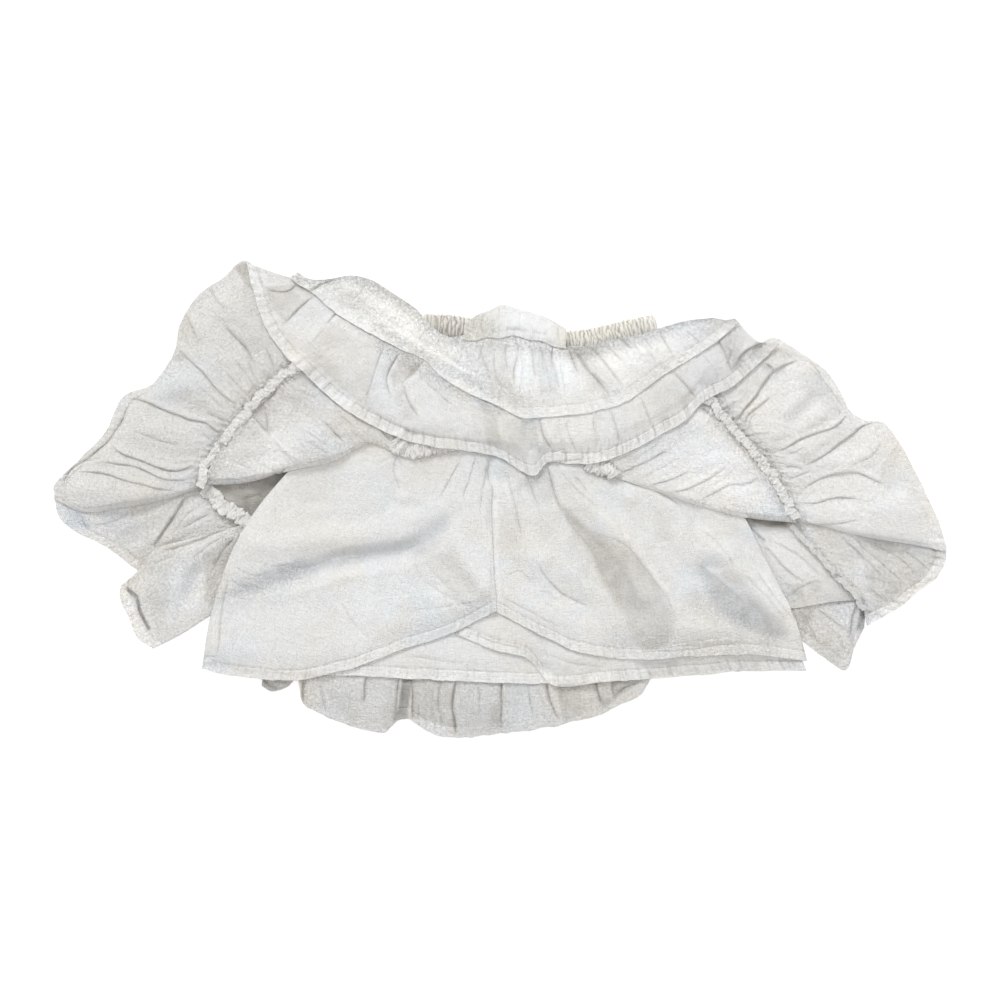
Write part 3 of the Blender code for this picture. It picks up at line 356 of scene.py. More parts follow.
def boxBlur(field, radius):
    # three box blurs each way, which come close to a round one
    for axis in (0, 1):
        for _ in range(3):
            padded = np.concatenate([np.repeat(field.take([0], axis), radius + 1, axis), field,
                                     np.repeat(field.take([-1], axis), radius, axis)], axis)
            total = np.cumsum(padded, axis=axis)
            size = field.shape[axis]
            top = total.take(range(2 * radius + 1, 2 * radius + 1 + size), axis)
            field = (top - total.take(range(size), axis)) / (2 * radius + 1)
    return field


def nodeForm(nodeName, margin=14):
    # upper surface of a solid, softened, as a height map with its corner on the table
    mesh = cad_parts[nodeName].data
    mesh.calc_loop_triangles()
    spots = np.array([v.co[:] for v in mesh.vertices]) * 1000
    spots = np.stack([spots[:, 0] + table["centre"][0], table["centre"][1] - spots[:, 1], spots[:, 2]], 1)
    faces = np.array([t.vertices[:] for t in mesh.loop_triangles])
    low = np.floor(spots[:, :2].min(axis=0)).astype(int) - margin
    size = np.ceil(spots[:, :2].max(axis=0)).astype(int) + margin - low
    height = np.full((size[1], size[0]), -1.0)
    for a, b, c in spots[faces]:
        turn = (b[0] - a[0]) * (c[1] - a[1]) - (b[1] - a[1]) * (c[0] - a[0])
        if abs(turn) < 1e-6:
            continue
        x0, y0 = np.floor(np.minimum(np.minimum(a, b), c)[:2]).astype(int)
        x1, y1 = np.ceil(np.maximum(np.maximum(a, b), c)[:2]).astype(int) + 1
        x, y = np.meshgrid(np.arange(x0, x1), np.arange(y0, y1))
        u = ((x - a[0]) * (c[1] - a[1]) - (y - a[1]) * (c[0] - a[0])) / turn
        v = ((b[0] - a[0]) * (y - a[1]) - (b[1] - a[1]) * (x - a[0])) / turn
        inside = (u >= -0.01) & (v >= -0.01) & (u + v <= 1.01)
        z = a[2] + u * (b[2] - a[2]) + v * (c[2] - a[2])
        part = height[y0 - low[1]:y1 - low[1], x0 - low[0]:x1 - low[0]]
        part[inside] = np.maximum(part[inside], z[inside])
    known = (height >= 0).astype(float)
    height = np.where(known > 0, height, 0)
    weight = boxBlur(known, table["blur"])
    soft = boxBlur(height * known, table["blur"])
    wide = boxBlur(known, margin), boxBlur(height * known, margin)
    far = wide[1] / np.maximum(wide[0], 1e-6)
    near = soft / np.maximum(weight, 1e-6)
    return np.where(weight > 0.02, near, far), low, far


def readMap(field, low, grid):
    # heights of a map under a grid of places
    x = np.clip(grid[..., 0] - low[0], 0, field.shape[1] - 1.001)
    y = np.clip(grid[..., 1] - low[1], 0, field.shape[0] - 1.001)
    c, r = x.astype(int), y.astype(int)
    u, v = x - c, y - r
    near = field[r, c] * (1 - u) + field[r, c + 1] * u
    far = field[r + 1, c] * (1 - u) + field[r + 1, c + 1] * u
    return near * (1 - v) + far * v


pile = np.zeros((table["size"], table["size"]))  # height of everything laid so far


def pileUnder(grid, reach=2):
    # highest cell near each point
    r = np.clip(np.round(grid[..., 1]).astype(int), reach, table["size"] - reach - 1)
    c = np.clip(np.round(grid[..., 0]).astype(int), reach, table["size"] - reach - 1)
    around = range(-reach, reach + 1)
    return np.max([pile[r + i, c + j] for i in around for j in around], axis=0)


def coverPile(grid, top):
    # raises the pile to a new upper surface, without gaps between its points
    edge = max(np.linalg.norm(np.diff(grid, axis=k), axis=2).max() for k in (0, 1))
    count = int(edge / 0.6) + 2
    spots = np.dstack([grid, top])
    for a in np.linspace(0, 1, count):
        for b in np.linspace(0, 1, count):
            mix = ((spots[:-1, :-1] * (1 - b) + spots[:-1, 1:] * b) * (1 - a)
                   + (spots[1:, :-1] * (1 - b) + spots[1:, 1:] * b) * a)
            r = np.clip(np.round(mix[..., 1]).astype(int), 0, table["size"] - 1)
            c = np.clip(np.round(mix[..., 0]).astype(int), 0, table["size"] - 1)
            np.maximum.at(pile, (r, c), mix[..., 2])


def settle(height, least, passes):
    # cloth falls softly from one support to the next, never below them
    height = np.maximum(height, least)
    for _ in range(passes):
        p = np.pad(height, 1, mode="edge")
        around = (p[:-2, 1:-1] + p[2:, 1:-1] + p[1:-1, :-2] + p[1:-1, 2:]) / 4
        lifted = height > least - 0.6
        height = np.maximum(least, np.where(lifted, 0.6 * height + 0.4 * around, height))
    return height


def hemField(grid, piece, shown):
    # height of the doubled hem, with its stitched line and the small puckers beside it, and the shade painted
    # into its tucks and along its stitched line
    seed = piece["seed"]
    edge = fromHem(grid)
    run = fromEdge(grid, 0, last=False)[:, -1:]
    stitch = hem["width"] - stitches["inset"]
    step = piece["hemStep"] * smooth(stitch + 0.5 - edge)
    groove = hem["groove"] * np.exp(-np.abs(edge - stitch) / 0.55)
    pucker = noise(run / 3.4, edge / 9.0, seed) + 0.8 * noise(run / 7.5, edge / 12.0, seed + 1)
    rng = np.random.RandomState(seed + 2)
    pitch = hem["tuckPitch"]
    tucks = np.cumsum(pitch * rng.uniform(0.4, 1.6, int(run.max() / pitch * 1.3) + 4)) - pitch
    depths = rng.uniform(0.2, 1.3, len(tucks))
    place = run + 0.9 * noise(run / 9.0, edge / 6.0, seed + 3)
    k = np.clip(np.searchsorted(tucks, place), 1, len(tucks) - 1)
    k = k - (place - tucks[k - 1] < tucks[k] - place)
    cuts = piece["cuts"] * depths[k] * bell(place, tucks[k], hem["tuckWidth"])
    band = smooth(edge / 1.5) * np.exp(-np.clip(edge - stitch, 0, None) / 3.5)
    roll = hem["roll"] * (1 - np.sqrt(1 - (1 - np.clip(edge / 1.6, 0, 1)) ** 2))
    height = step - groove + (piece["pucker"] * pucker - cuts) * band
    seam = hem["stitchShade"] * np.exp(-np.abs(edge - stitch) / 0.7)
    seam = seam * (1 + 0.6 * noise(run / 8, run * 0, seed))
    return height * shown - roll, (hem["tuckShade"] * cuts * band + seam) * shown


def shownHem(grid, piece):
    # how far the turned hem shows, given at places along the edge
    marks = np.array(piece["hemShown"])
    rows = [int(np.argmin(np.hypot(grid[:, -1, 0] - x, grid[:, -1, 1] - y))) for x, y, _ in marks]
    order = np.argsort(rows)
    return np.interp(np.arange(len(grid)), np.array(rows)[order], marks[order, 2])


# objects

def toWorld(spots):
    # from the table's millimetres to the model's metres
    out = np.empty(spots.shape)
    out[..., 0] = (spots[..., 0] - table["centre"][0]) / 1000
    out[..., 1] = (table["centre"][1] - spots[..., 1]) / 1000
    out[..., 2] = spots[..., 2] / 1000
    return out


def meshObject(name, verts, faces, material, uv, painted):
    mesh = bpy.data.meshes.new(name)
    mesh.from_pydata(verts.tolist(), [], faces)
    layer = mesh.uv_layers.new(name="clothMap")
    loops = np.empty(len(mesh.loops), dtype=np.int32)
    mesh.loops.foreach_get("vertex_index", loops)
    layer.data.foreach_set("uv", uv[loops].astype(np.float32).ravel())
    for label, values in painted.items():
        mesh.attributes.new(label, "FLOAT", "POINT").data.foreach_set("value", values.astype(np.float32))
    mesh.materials.append(material)
    mesh.shade_smooth()
    mesh.update()
    made = bpy.data.objects.new(name, mesh)
    bpy.context.scene.collection.objects.link(made)
    return made


def shellFaces(rows, columns):
    # faces of a closed shell: its upper side, its rim, and an underside with fewer and larger faces
    count = rows * columns
    index = np.arange(count).reshape(rows, columns)
    a, b = index[:-1, :-1].ravel(), index[1:, :-1].ravel()
    c, d = index[1:, 1:].ravel(), index[:-1, 1:].ravel()
    rim = np.concatenate([index[:, 0], index[-1, 1:], index[-2::-1, -1], index[0, -2:0:-1]])
    after = np.roll(rim, -1)
    faces = np.stack([a, b, c, d], 1).tolist()
    faces += np.stack([after, rim, rim + count, after + count], 1).tolist()
    jump = cloth["underStep"]
    keptRows = sorted(set(range(0, rows - 1, jump)) | {rows - 1})
    keptColumns = sorted(set(range(0, columns - 1, jump)) | {columns - 1})
    below = (index + count).tolist()
    for r0, r1 in zip(keptRows[:-1], keptRows[1:]):
        for c0, c1 in zip(keptColumns[:-1], keptColumns[1:]):
            near = range(c0, c1) if r0 == 0 else (c0,)
            right = range(r0, r1) if c1 == columns - 1 else (r0,)
            far = range(c1, c0, -1) if r1 == rows - 1 else (c1,)
            left = range(r1, r0, -1) if c0 == 0 else (r1,)
            faces.append([below[r0][c] for c in near] + [below[r][c1] for r in right]
                         + [below[r1][c] for c in far] + [below[r][c0] for r in left])
    return faces


def shellObject(name, grid, top, under, painted, material):
    # closed shell, with a coarse underside that stays below the upper surface
    rows, columns = top.shape
    count = rows * columns
    jump = cloth["underStep"]
    around = range(2 * jump + 1)
    padded = np.pad(under, jump, mode="edge")
    deep = np.min([padded[i:i + rows, j:j + columns] for i in around for j in around], axis=0)
    inner = np.zeros(top.shape, bool)
    inner[1:-1, 1:-1] = True
    under = np.where(inner, np.minimum(deep, under), under)
    faces = shellFaces(rows, columns)
    middle = grid[rows // 2, columns // 2]
    across = grid[rows // 2, columns // 2 + 1] - middle
    down = grid[rows // 2 + 1, columns // 2] - middle
    if down[1] * across[0] < down[0] * across[1]:  # keep the faces pointing out
        faces = [face[::-1] for face in faces]
    spots = np.concatenate([toWorld(np.dstack([grid, level])).reshape(-1, 3) for level in (top, under)])
    along = fromEdge(grid, 0, last=False).mean(axis=1)[:, None] + np.zeros_like(top)
    uv = np.stack([along, fromSeam(grid)], axis=2).reshape(-1, 2) / 1000
    used = np.zeros(2 * count, bool)
    used[:count] = True
    for face in faces:
        used[face] = True
    renamed = (np.cumsum(used) - 1).tolist()
    faces = [[renamed[v] for v in face] for face in faces]
    both = {label: np.tile(values.ravel(), 2)[used] for label, values in painted.items()}
    return meshObject(name, spots[used], faces, material, np.tile(uv, (2, 1))[used], both)


def upwardPart(grid, top):
    # how far the surface faces up: 1 where it is level
    spots = np.dstack([grid, top])
    normal = np.cross(np.gradient(spots, axis=0), np.gradient(spots, axis=1))
    return np.abs(normal[..., 2]) / np.maximum(np.linalg.norm(normal, axis=2), 1e-9)


# materials

def newTree(kind, name, inputs, outputs):
    # a node tree with its sockets, given as name, kind and default
    tree = bpy.data.node_groups.new(name, kind)
    for label, socketKind, value in inputs:
        socket = tree.interface.new_socket(label, in_out="INPUT", socket_type="NodeSocket" + socketKind)
        if value is not None:
            socket.default_value = value
    for label, socketKind in outputs:
        tree.interface.new_socket(label, in_out="OUTPUT", socket_type="NodeSocket" + socketKind)
    return tree, tree.nodes.new("NodeGroupInput").outputs, tree.nodes.new("NodeGroupOutput").inputs


def joined(tree, kind, settings=None, **inputs):
    # a node with its settings, its inputs given as values or as sockets to link
    node = tree.nodes.new(kind)
    for key, value in (settings or {}).items():
        setattr(node, key, value)
    for key, value in inputs.items():
        key = int(key[1:]) if key[0] == "i" and key[1:].isdigit() else key.replace("_", " ")
        if isinstance(value, bpy.types.NodeSocket):
            tree.links.new(value, node.inputs[key])
        else:
            node.inputs[key].default_value = value
    return node


def maths(tree, operation, *values):
    inputs = {f"i{k}": value for k, value in enumerate(values)}
    return joined(tree, "ShaderNodeMath", {"operation": operation}, **inputs).outputs[0]


def scaled(tree, vector, scale):
    return joined(tree, "ShaderNodeVectorMath", {"operation": "SCALE"}, Vector=vector, Scale=scale).outputs[0]


def mixed(tree, share, first, second):
    return joined(tree, "ShaderNodeMix", {"data_type": "RGBA"}, i0=share, i6=first, i7=second).outputs[2]


def readAttribute(tree, name):
    return joined(tree, "ShaderNodeAttribute", {"attribute_name": name}).outputs["Fac"]


def weaveGroup():
    # plain weave with slubs: uneven thick threads both ways, and a fine crinkle
    group, start, end = newTree("ShaderNodeTree", "slubWeave", (
        ("Vector", "Vector", None), ("Place", "Vector", None), ("Thread", "Float", 0.9),
        ("Slub", "Float", 1.0), ("Crinkle", "Float", 0.5), ("Crinkle Size", "Float", 5.0)),
        (("Height", "Float"), ("Tone", "Float")))
    place = scaled(group, start["Vector"], 1000.0)
    inverse = maths(group, "DIVIDE", 1.0, start["Thread"])
    threads = []
    for stretch in ((1.0, 0.10, 1.0), (0.10, 1.0, 1.0)):
        long = joined(group, "ShaderNodeVectorMath", {"operation": "MULTIPLY"}, i0=place, i1=stretch)
        threads.append(joined(group, "ShaderNodeTexNoise", {"noise_dimensions": "2D"},
                              Vector=scaled(group, long.outputs[0], inverse), Scale=1.0, Detail=2.0,
                              Roughness=0.6, Distortion=0.25).outputs["Fac"])
    woven = maths(group, "ADD", *threads)
    spot = scaled(group, start["Place"], 1000.0)
    folds = joined(group, "ShaderNodeTexNoise", {"noise_dimensions": "2D"}, Vector=spot,
                   Scale=maths(group, "DIVIDE", 1.0, start["Crinkle Size"]), Detail=4.0, Roughness=0.6,
                   Distortion=0.35).outputs["Fac"]
    ridged = maths(group, "ABSOLUTE", maths(group, "SUBTRACT", folds, 0.5))
    crinkle = maths(group, "MULTIPLY", maths(group, "MULTIPLY", ridged, start["Crinkle"]), -6.0)
    slubs = maths(group, "MULTIPLY", woven, start["Slub"])
    group.links.new(maths(group, "ADD", slubs, crinkle), end["Height"])
    group.links.new(woven, end["Tone"])
    return group


def toneGroup():
    # slow drift of colour over the washed cloth, warm here and cool there, then the painted shade mixed in
    # with the stain colour (on the waist, also its cream), the painted cool shade, and painted light, which
    # also lightens where the hem is doubled
    group, start, end = newTree("ShaderNodeTree", "toneAndPaintedShade", (
        ("Vector", "Vector", None), ("Light", "Color", (0.8, 0.8, 0.8, 1)),
        ("Warm", "Color", (0.8, 0.78, 0.74, 1)), ("Cool", "Color", (0.78, 0.8, 0.82, 1)),
        ("Stain", "Color", (0.52, 0.49, 0.45, 1)), ("Stain Amount", "Float", 0.0),
        ("Shadow", "Color", (0.64, 0.675, 0.725, 1)), ("Shadow Amount", "Float", 0.0),
        ("Doubled", "Float", 0.0), ("Thread Tone", "Float", 0.5), ("Thread Amount", "Float", 0.06)),
        (("Color", "Color"),))
    colour = start["Light"]
    for label, shift, low, high in (("Warm", 0.0, 0.46, 0.62), ("Cool", 3.7, 0.52, 0.68)):
        moved = joined(group, "ShaderNodeVectorMath", {"operation": "ADD"}, i0=start["Vector"],
                       i1=(shift, shift, shift)).outputs[0]
        patches = joined(group, "ShaderNodeTexNoise", {}, Vector=moved, Scale=13.0, Detail=3.0,
                         Roughness=0.6).outputs["Fac"]
        spread = joined(group, "ShaderNodeMapRange", {"clamp": True}, Value=patches, From_Min=low,
                        From_Max=high).outputs["Result"]
        colour = mixed(group, spread, colour, start[label])
    colour = mixed(group, start["Stain Amount"], colour, start["Stain"])
    colour = mixed(group, start["Shadow Amount"], colour, start["Shadow"])
    lit = scaled(group, colour, maths(group, "MULTIPLY_ADD", start["Doubled"], 0.075, 1.0))
    shade = maths(group, "SUBTRACT", start["Thread Tone"], 1.0)
    woven = scaled(group, lit, maths(group, "MULTIPLY_ADD", shade, start["Thread Amount"], 1.0))
    group.links.new(woven, end["Color"])
    return group


slubWeave = weaveGroup()
toneAndPaintedShade = toneGroup()


def clothMaterial(name, finish):
    material = bpy.data.materials.new(name)
    material.use_nodes = True
    tree = material.node_tree
    spots = joined(tree, "ShaderNodeTexCoord").outputs
    crinkled = readAttribute(tree, "crinkled")
    crinkle = maths(tree, "MULTIPLY_ADD", crinkled, finish["crinkle"], finish["smooth"])
    weave = joined(tree, "ShaderNodeGroup", {"node_tree": slubWeave}, Vector=spots[finish["map"]],
                   Place=spots["Object"], Thread=finish["thread"], Slub=finish["slub"], Crinkle=crinkle,
                   Crinkle_Size=finish["crinkleSize"]).outputs
    colours = {label: (*finish[label.lower()], 1) for label in ("Light", "Warm", "Cool", "Stain")}
    # from the attributes: painted shade with the stain colour (on the waist, also its cream), painted cool
    # shade with the shadow colour, and painted light
    tone = joined(tree, "ShaderNodeGroup", {"node_tree": toneAndPaintedShade}, Vector=spots["Object"], **colours,
                  Stain_Amount=readAttribute(tree, "paintedShadeAndStain"), Shadow_Amount=readAttribute(tree, "paintedCoolShade"),
                  Doubled=readAttribute(tree, "doubled"), Thread_Tone=weave["Tone"],
                  Thread_Amount=finish["threadTone"])
    bump = joined(tree, "ShaderNodeBump", {}, Strength=finish["relief"], Distance=0.0005,
                  Height=weave["Height"])
    shader = tree.nodes["Principled BSDF"].inputs
    tree.links.new(tone.outputs["Color"], shader["Base Color"])
    tree.links.new(bump.outputs["Normal"], shader["Normal"])
    for label, value in cottonShine.items():
        shader[label].default_value = value
    return material


cottonShine = {"Roughness": 0.88, "Specular IOR Level": 0.25, "Sheen Weight": 0.12, "Sheen Roughness": 0.5}
plainFinish = {  # what a finish has unless it says more
    "stain": (0.52, 0.49, 0.45), "thread": 1.0, "slub": 1.5, "crinkle": 1.7, "smooth": 0.5,
    "crinkleSize": 3.4, "threadTone": 0.2, "relief": 1.0, "map": "UV"}
# the crinkled ruffle and the seam edges get a lighter colour, and the flat seam at the back a darker one,
# than the same cotton elsewhere: painted light and painted shade
finishes = {
    "rightSide": {"light": (0.84, 0.84, 0.835), "warm": (0.84, 0.82, 0.785), "cool": (0.815, 0.84, 0.86)},
    "wrongSide": {"light": (0.84, 0.835, 0.825), "warm": (0.835, 0.81, 0.77), "cool": (0.81, 0.835, 0.855),
                  "crinkle": 1.8, "smooth": 0.8},
    "crinkled": {"light": (0.90, 0.90, 0.89), "warm": (0.90, 0.88, 0.845), "cool": (0.875, 0.90, 0.915),
                 "slub": 1.0, "crinkleSize": 3.2, "threadTone": 0.18, "relief": 1.1},
    "waist": {"light": (0.85, 0.85, 0.845), "warm": (0.85, 0.835, 0.80), "cool": (0.84, 0.85, 0.86),
              "stain": (0.78, 0.74, 0.63), "slub": 1.2, "crinkle": 1.4, "smooth": 0.4, "crinkleSize": 3.6,
              "threadTone": 0.15},
    "shadedFlatSeam": {"light": (0.76, 0.76, 0.75), "warm": (0.75, 0.74, 0.72), "cool": (0.74, 0.75, 0.76),
                 "thread": 0.9, "slub": 1.2, "crinkle": 1.5, "smooth": 0.7, "crinkleSize": 2.6,
                 "threadTone": 0.12, "relief": 0.9, "map": "Object"},
    "litSeamEdge": {"light": (0.89, 0.885, 0.875), "warm": (0.88, 0.865, 0.84), "cool": (0.88, 0.885, 0.89),
                 "thread": 0.8, "slub": 1.2, "crinkle": 1.5, "smooth": 0.7, "crinkleSize": 2.4,
                 "threadTone": 0.10, "relief": 0.8, "map": "Object"},
    "cream": {"light": (0.95, 0.93, 0.86), "warm": (0.94, 0.91, 0.82), "cool": (0.94, 0.93, 0.88),
              "thread": 0.8, "slub": 0.9, "crinkle": 1.2, "smooth": 0.7, "crinkleSize": 3.0,
              "threadTone": 0.12, "relief": 0.8, "map": "Object"},
    "thread": {"light": (0.80, 0.79, 0.77), "warm": (0.78, 0.77, 0.74), "cool": (0.79, 0.79, 0.79),
               "thread": 0.4, "slub": 1.0, "crinkle": 0.2, "smooth": 0.25, "crinkleSize": 2.0,
               "threadTone": 0.1, "relief": 0.4, "map": "Object"},
}
materials = {name: clothMaterial(name, {**plainFinish, **finish}) for name, finish in finishes.items()}
print("materials made:", len(materials))


# what repeats along a path: stitches and gathered ridges

def stitchTree():
    # a row of thread ends along a path
    tree, start, end = newTree("GeometryNodeTree", "stitchRow", (
        ("Geometry", "Geometry", None), ("Pitch", "Float", 0.0036), ("Length", "Float", 0.0026),
        ("Thickness", "Float", 0.0007), ("Seed", "Int", 1), ("Material", "Material", None)),
        (("Geometry", "Geometry"),))
    curve = joined(tree, "GeometryNodeMeshToCurve", Mesh=start["Geometry"])
    points = joined(tree, "GeometryNodeCurveToPoints", {"mode": "LENGTH"}, Curve=curve.outputs[0],
                    Length=start["Pitch"]).outputs
    grain = joined(tree, "GeometryNodeMeshUVSphere", Segments=6, Rings=4, Radius=0.5)
    size = joined(tree, "ShaderNodeCombineXYZ", X=start["Thickness"], Y=start["Thickness"], Z=start["Length"])
    shaped = joined(tree, "GeometryNodeTransform", Geometry=grain.outputs["Mesh"], Scale=size.outputs[0])
    uneven = joined(tree, "FunctionNodeRandomValue", {"data_type": "FLOAT"}, i2=0.85, i3=1.12,
                    Seed=start["Seed"])
    placed = joined(tree, "GeometryNodeInstanceOnPoints", Points=points["Points"], Instance=shaped.outputs[0],
                    Rotation=points["Rotation"], Scale=uneven.outputs[1])
    finishTree(tree, placed, start, end)
    return tree


def finishTree(tree, node, start, end):
    real = joined(tree, "GeometryNodeRealizeInstances", Geometry=node.outputs[0])
    named = joined(tree, "GeometryNodeSetMaterial", Geometry=real.outputs[0], Material=start["Material"])
    tree.links.new(named.outputs[0], end[0])


def ridgeTree():
    # a half-round band along a path, drawn in by gathers of uneven size
    tree, start, end = newTree("GeometryNodeTree", "gatheredRidge", (
        ("Geometry", "Geometry", None), ("Width", "Float", 0.014), ("Height", "Float", 0.004),
        ("Pitch", "Float", 0.005), ("Depth", "Float", 0.001), ("Wander", "Float", 0.6),
        ("Lumps", "Float", 0.004), ("Lump Scale", "Float", 300.0), ("Seed", "Float", 1.0),
        ("Step", "Float", 0.0006), ("Groove", "Float", 0.4), ("Dusk", "Float", 0.0),
        ("Material", "Material", None)), (("Geometry", "Geometry"),))

    def use(operation, *values):
        return maths(tree, operation, *values)

    def store(node, name, value):
        return joined(tree, "GeometryNodeStoreNamedAttribute", {"data_type": "FLOAT", "domain": "POINT"},
                      Geometry=node.outputs[0], Name=name, Value=value)

    def read(name):
        return joined(tree, "GeometryNodeInputNamedAttribute", {"data_type": "FLOAT"}, Name=name).outputs[0]

    def uneven(scale, detail):
        return joined(tree, "ShaderNodeTexNoise", {"noise_dimensions": "4D"}, Vector=place, W=start["Seed"],
                      Scale=scale, Detail=detail).outputs["Fac"]

    place = joined(tree, "GeometryNodeInputPosition").outputs[0]
    spot = joined(tree, "ShaderNodeSeparateXYZ", Vector=place).outputs
    curve = joined(tree, "GeometryNodeMeshToCurve", Mesh=start["Geometry"])
    even = joined(tree, "GeometryNodeResampleCurve", {"mode": "LENGTH"}, Curve=curve.outputs[0],
                  Length=start["Step"])
    level = joined(tree, "GeometryNodeSetCurveNormal", {"mode": "Z_UP"}, Curve=even.outputs[0])
    spline = joined(tree, "GeometryNodeSplineParameter").outputs
    rail = store(store(level, "along", spline["Length"]), "share", spline["Factor"])
    rail = store(rail, "rest", use("MULTIPLY_ADD", start["Height"], -0.5, spot["Z"]))
    ring = joined(tree, "GeometryNodeCurvePrimitiveCircle", {"mode": "RADIUS"}, Resolution=22, Radius=0.5)
    flat = joined(tree, "ShaderNodeCombineXYZ", X=start["Width"], Y=start["Height"], Z=1.0)
    profile = joined(tree, "GeometryNodeTransform", Geometry=ring.outputs[0], Scale=flat.outputs[0])
    band = joined(tree, "GeometryNodeCurveToMesh", Curve=rail.outputs[0], Profile_Curve=profile.outputs[0],
                  Fill_Caps=True)

    # gathers: sharp troughs at an uneven pitch, with lumps between them, both fading at the ends
    part = read("share")
    wander = use("MULTIPLY", use("SUBTRACT", uneven(140.0, 1.0), 0.5), start["Wander"])
    turns = use("ADD", use("DIVIDE", read("along"), start["Pitch"]), use("MULTIPLY", wander, 4.0))
    wave = use("ABSOLUTE", use("SINE", use("MULTIPLY", turns, math.pi)))
    drawn = use("MULTIPLY", use("SUBTRACT", use("POWER", wave, 0.6), 0.75), start["Depth"])
    ragged = uneven(start["Lump Scale"], 2.0)
    rough = use("MULTIPLY", use("SUBTRACT", ragged, 0.5), start["Lumps"])
    push = scaled(tree, joined(tree, "GeometryNodeInputNormal").outputs[0], use("ADD", drawn, rough))
    ends = use("MINIMUM", use("MULTIPLY", part, 14.0), use("MULTIPLY", use("SUBTRACT", 1.0, part), 14.0))

    # painted shade in the troughs and hollows, and more painted shade at the start of the path
    groove = use("MULTIPLY", use("POWER", use("SUBTRACT", 1.0, wave), 1.5), start["Groove"])
    hollow = use("MULTIPLY", use("MAXIMUM", use("SUBTRACT", 0.46, ragged), 0.0), 1.6)
    early = use("MINIMUM", use("MAXIMUM", use("SUBTRACT", 1.6, use("MULTIPLY", part, 6.0)), 0.0), 1.0)
    dusk = use("MULTIPLY", early, start["Dusk"])
    shaded = store(band, "paintedShadeAndStain", use("MINIMUM", use("ADD", use("ADD", groove, hollow), dusk), 1.0))

    # moved out, but never below the path's own underside
    moved = joined(tree, "GeometryNodeSetPosition", Geometry=shaded.outputs[0],
                   Offset=scaled(tree, push, use("MINIMUM", ends, 1.0)))
    raised = joined(tree, "ShaderNodeCombineXYZ", X=spot["X"], Y=spot["Y"],
                    Z=use("MAXIMUM", spot["Z"], read("rest")))
    rested = joined(tree, "GeometryNodeSetPosition", Geometry=moved.outputs[0], Position=raised.outputs[0])
    finishTree(tree, rested, start, end)
    return tree


stitchRow = stitchTree()
gatheredRidge = ridgeTree()


def alongPaths(name, paths, tree, material, values):
    # runs a tree on the given paths and keeps its result as a plain mesh
    verts, edges = [], []
    for path in paths:
        edges += [(len(verts) + k, len(verts) + k + 1) for k in range(len(path) - 1)]
        verts += [tuple(spot) for spot in path]
    mesh = bpy.data.meshes.new(name + "Path")
    mesh.from_pydata(verts, edges, [])
    guide = bpy.data.objects.new(name + "Path", mesh)
    bpy.context.scene.collection.objects.link(guide)
    modifier = guide.modifiers.new("build", "NODES")
    modifier.node_group = tree
    values = {**values, "Material": material}
    for item in tree.interface.items_tree:
        if item.item_type == "SOCKET" and item.in_out == "INPUT" and item.name in values:
            modifier[item.identifier] = values[item.name]
    bpy.context.view_layer.update()
    ready = guide.evaluated_get(bpy.context.evaluated_depsgraph_get())
    plain = bpy.data.meshes.new_from_object(ready)
    plain.name = name
    bpy.data.objects.remove(guide)
    plain.shade_smooth()
    made = bpy.data.objects.new(name, plain)
    bpy.context.scene.collection.objects.link(made)
    return made


def sideways(line):
    # the level way across a line, one millimetre long, at each of its points
    way = np.gradient(line[:, :2], axis=0)
    way /= np.linalg.norm(way, axis=1)[:, None]
    return np.stack([-way[:, 1], way[:, 0]], axis=1)


def pilePath(points, lift, jitter, seed, spacing=2.0):
    # a path that lies on the pile, drawn a little to and fro
    run = runOf(points)
    at = np.linspace(0, run[-1], int(run[-1] / spacing) + 2)
    line = readCurve(points, run, at)
    line += sideways(line) * (jitter * noise(at / 5.5, at * 0, seed))[:, None]
    height = pileUnder(line[:, None], 2)[:, 0]
    for _ in range(3):
        height = np.maximum(height, np.convolve(np.pad(height, 1, mode="edge"), (0.25, 0.5, 0.25), "valid"))
    return np.column_stack([line, height + lift])


def layRidge(nodeName, ridge):
    # gathered ridge of seam allowance, or the gathers over the elastic
    ridge = {**plainRidge, **ridge}
    half = ridge["height"] / 2
    line = pilePath(pairs(ridge["path"]), half + table["gap"], ridge["jitter"], ridge["seed"])
    sizes = {key.title(): ridge[key] / 1000 for key in ("width", "height", "pitch", "depth", "lumps")}
    made = alongPaths(nodeName + "_cloth", [toWorld(line)], gatheredRidge, materials[ridge["finish"]], {
        **sizes, "Wander": ridge["wander"], "Groove": ridge["groove"], "Dusk": ridge["dusk"],
        "Lump Scale": ridge["lumpScale"], "Seed": float(ridge["seed"])})
    reach = np.linspace(-1, 1, 9)
    grid = line[:, None, :2] + sideways(line)[:, None] * reach[None, :, None] * ridge["width"] / 2
    top = line[:, 2][:, None] + half * np.sqrt(1 - 0.9 * reach ** 2)[None]
    coverPile(grid, top)
    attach(made, "root")
    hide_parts(nodeName)
    return made


def roughness(grid, piece):
    # how crinkled the cloth is: most at its gathered seam, its hem and its rough patches
    rough = np.full(grid.shape[:2], piece["rough"])
    if piece["gathers"]:
        rough = np.maximum(rough, 0.9 * bell(fromSeam(grid), 0, cloth["drawnReach"]))
    if piece["hem"]:
        turned = smooth((hem["width"] + 3 - fromHem(grid)) / 4)
        rough = np.maximum(rough, 0.2 * turned * shownHem(grid, piece)[:, None])
    for strength, reach, *numbers in piece["patches"]:
        points = pairs(numbers)
        near = nearby(grid, points, 2 * reach)
        if near.any():
            best = nearLine(grid[near], points)[0]
            rough[near] = np.maximum(rough[near], strength * bell(best, 0, reach))
    return rough


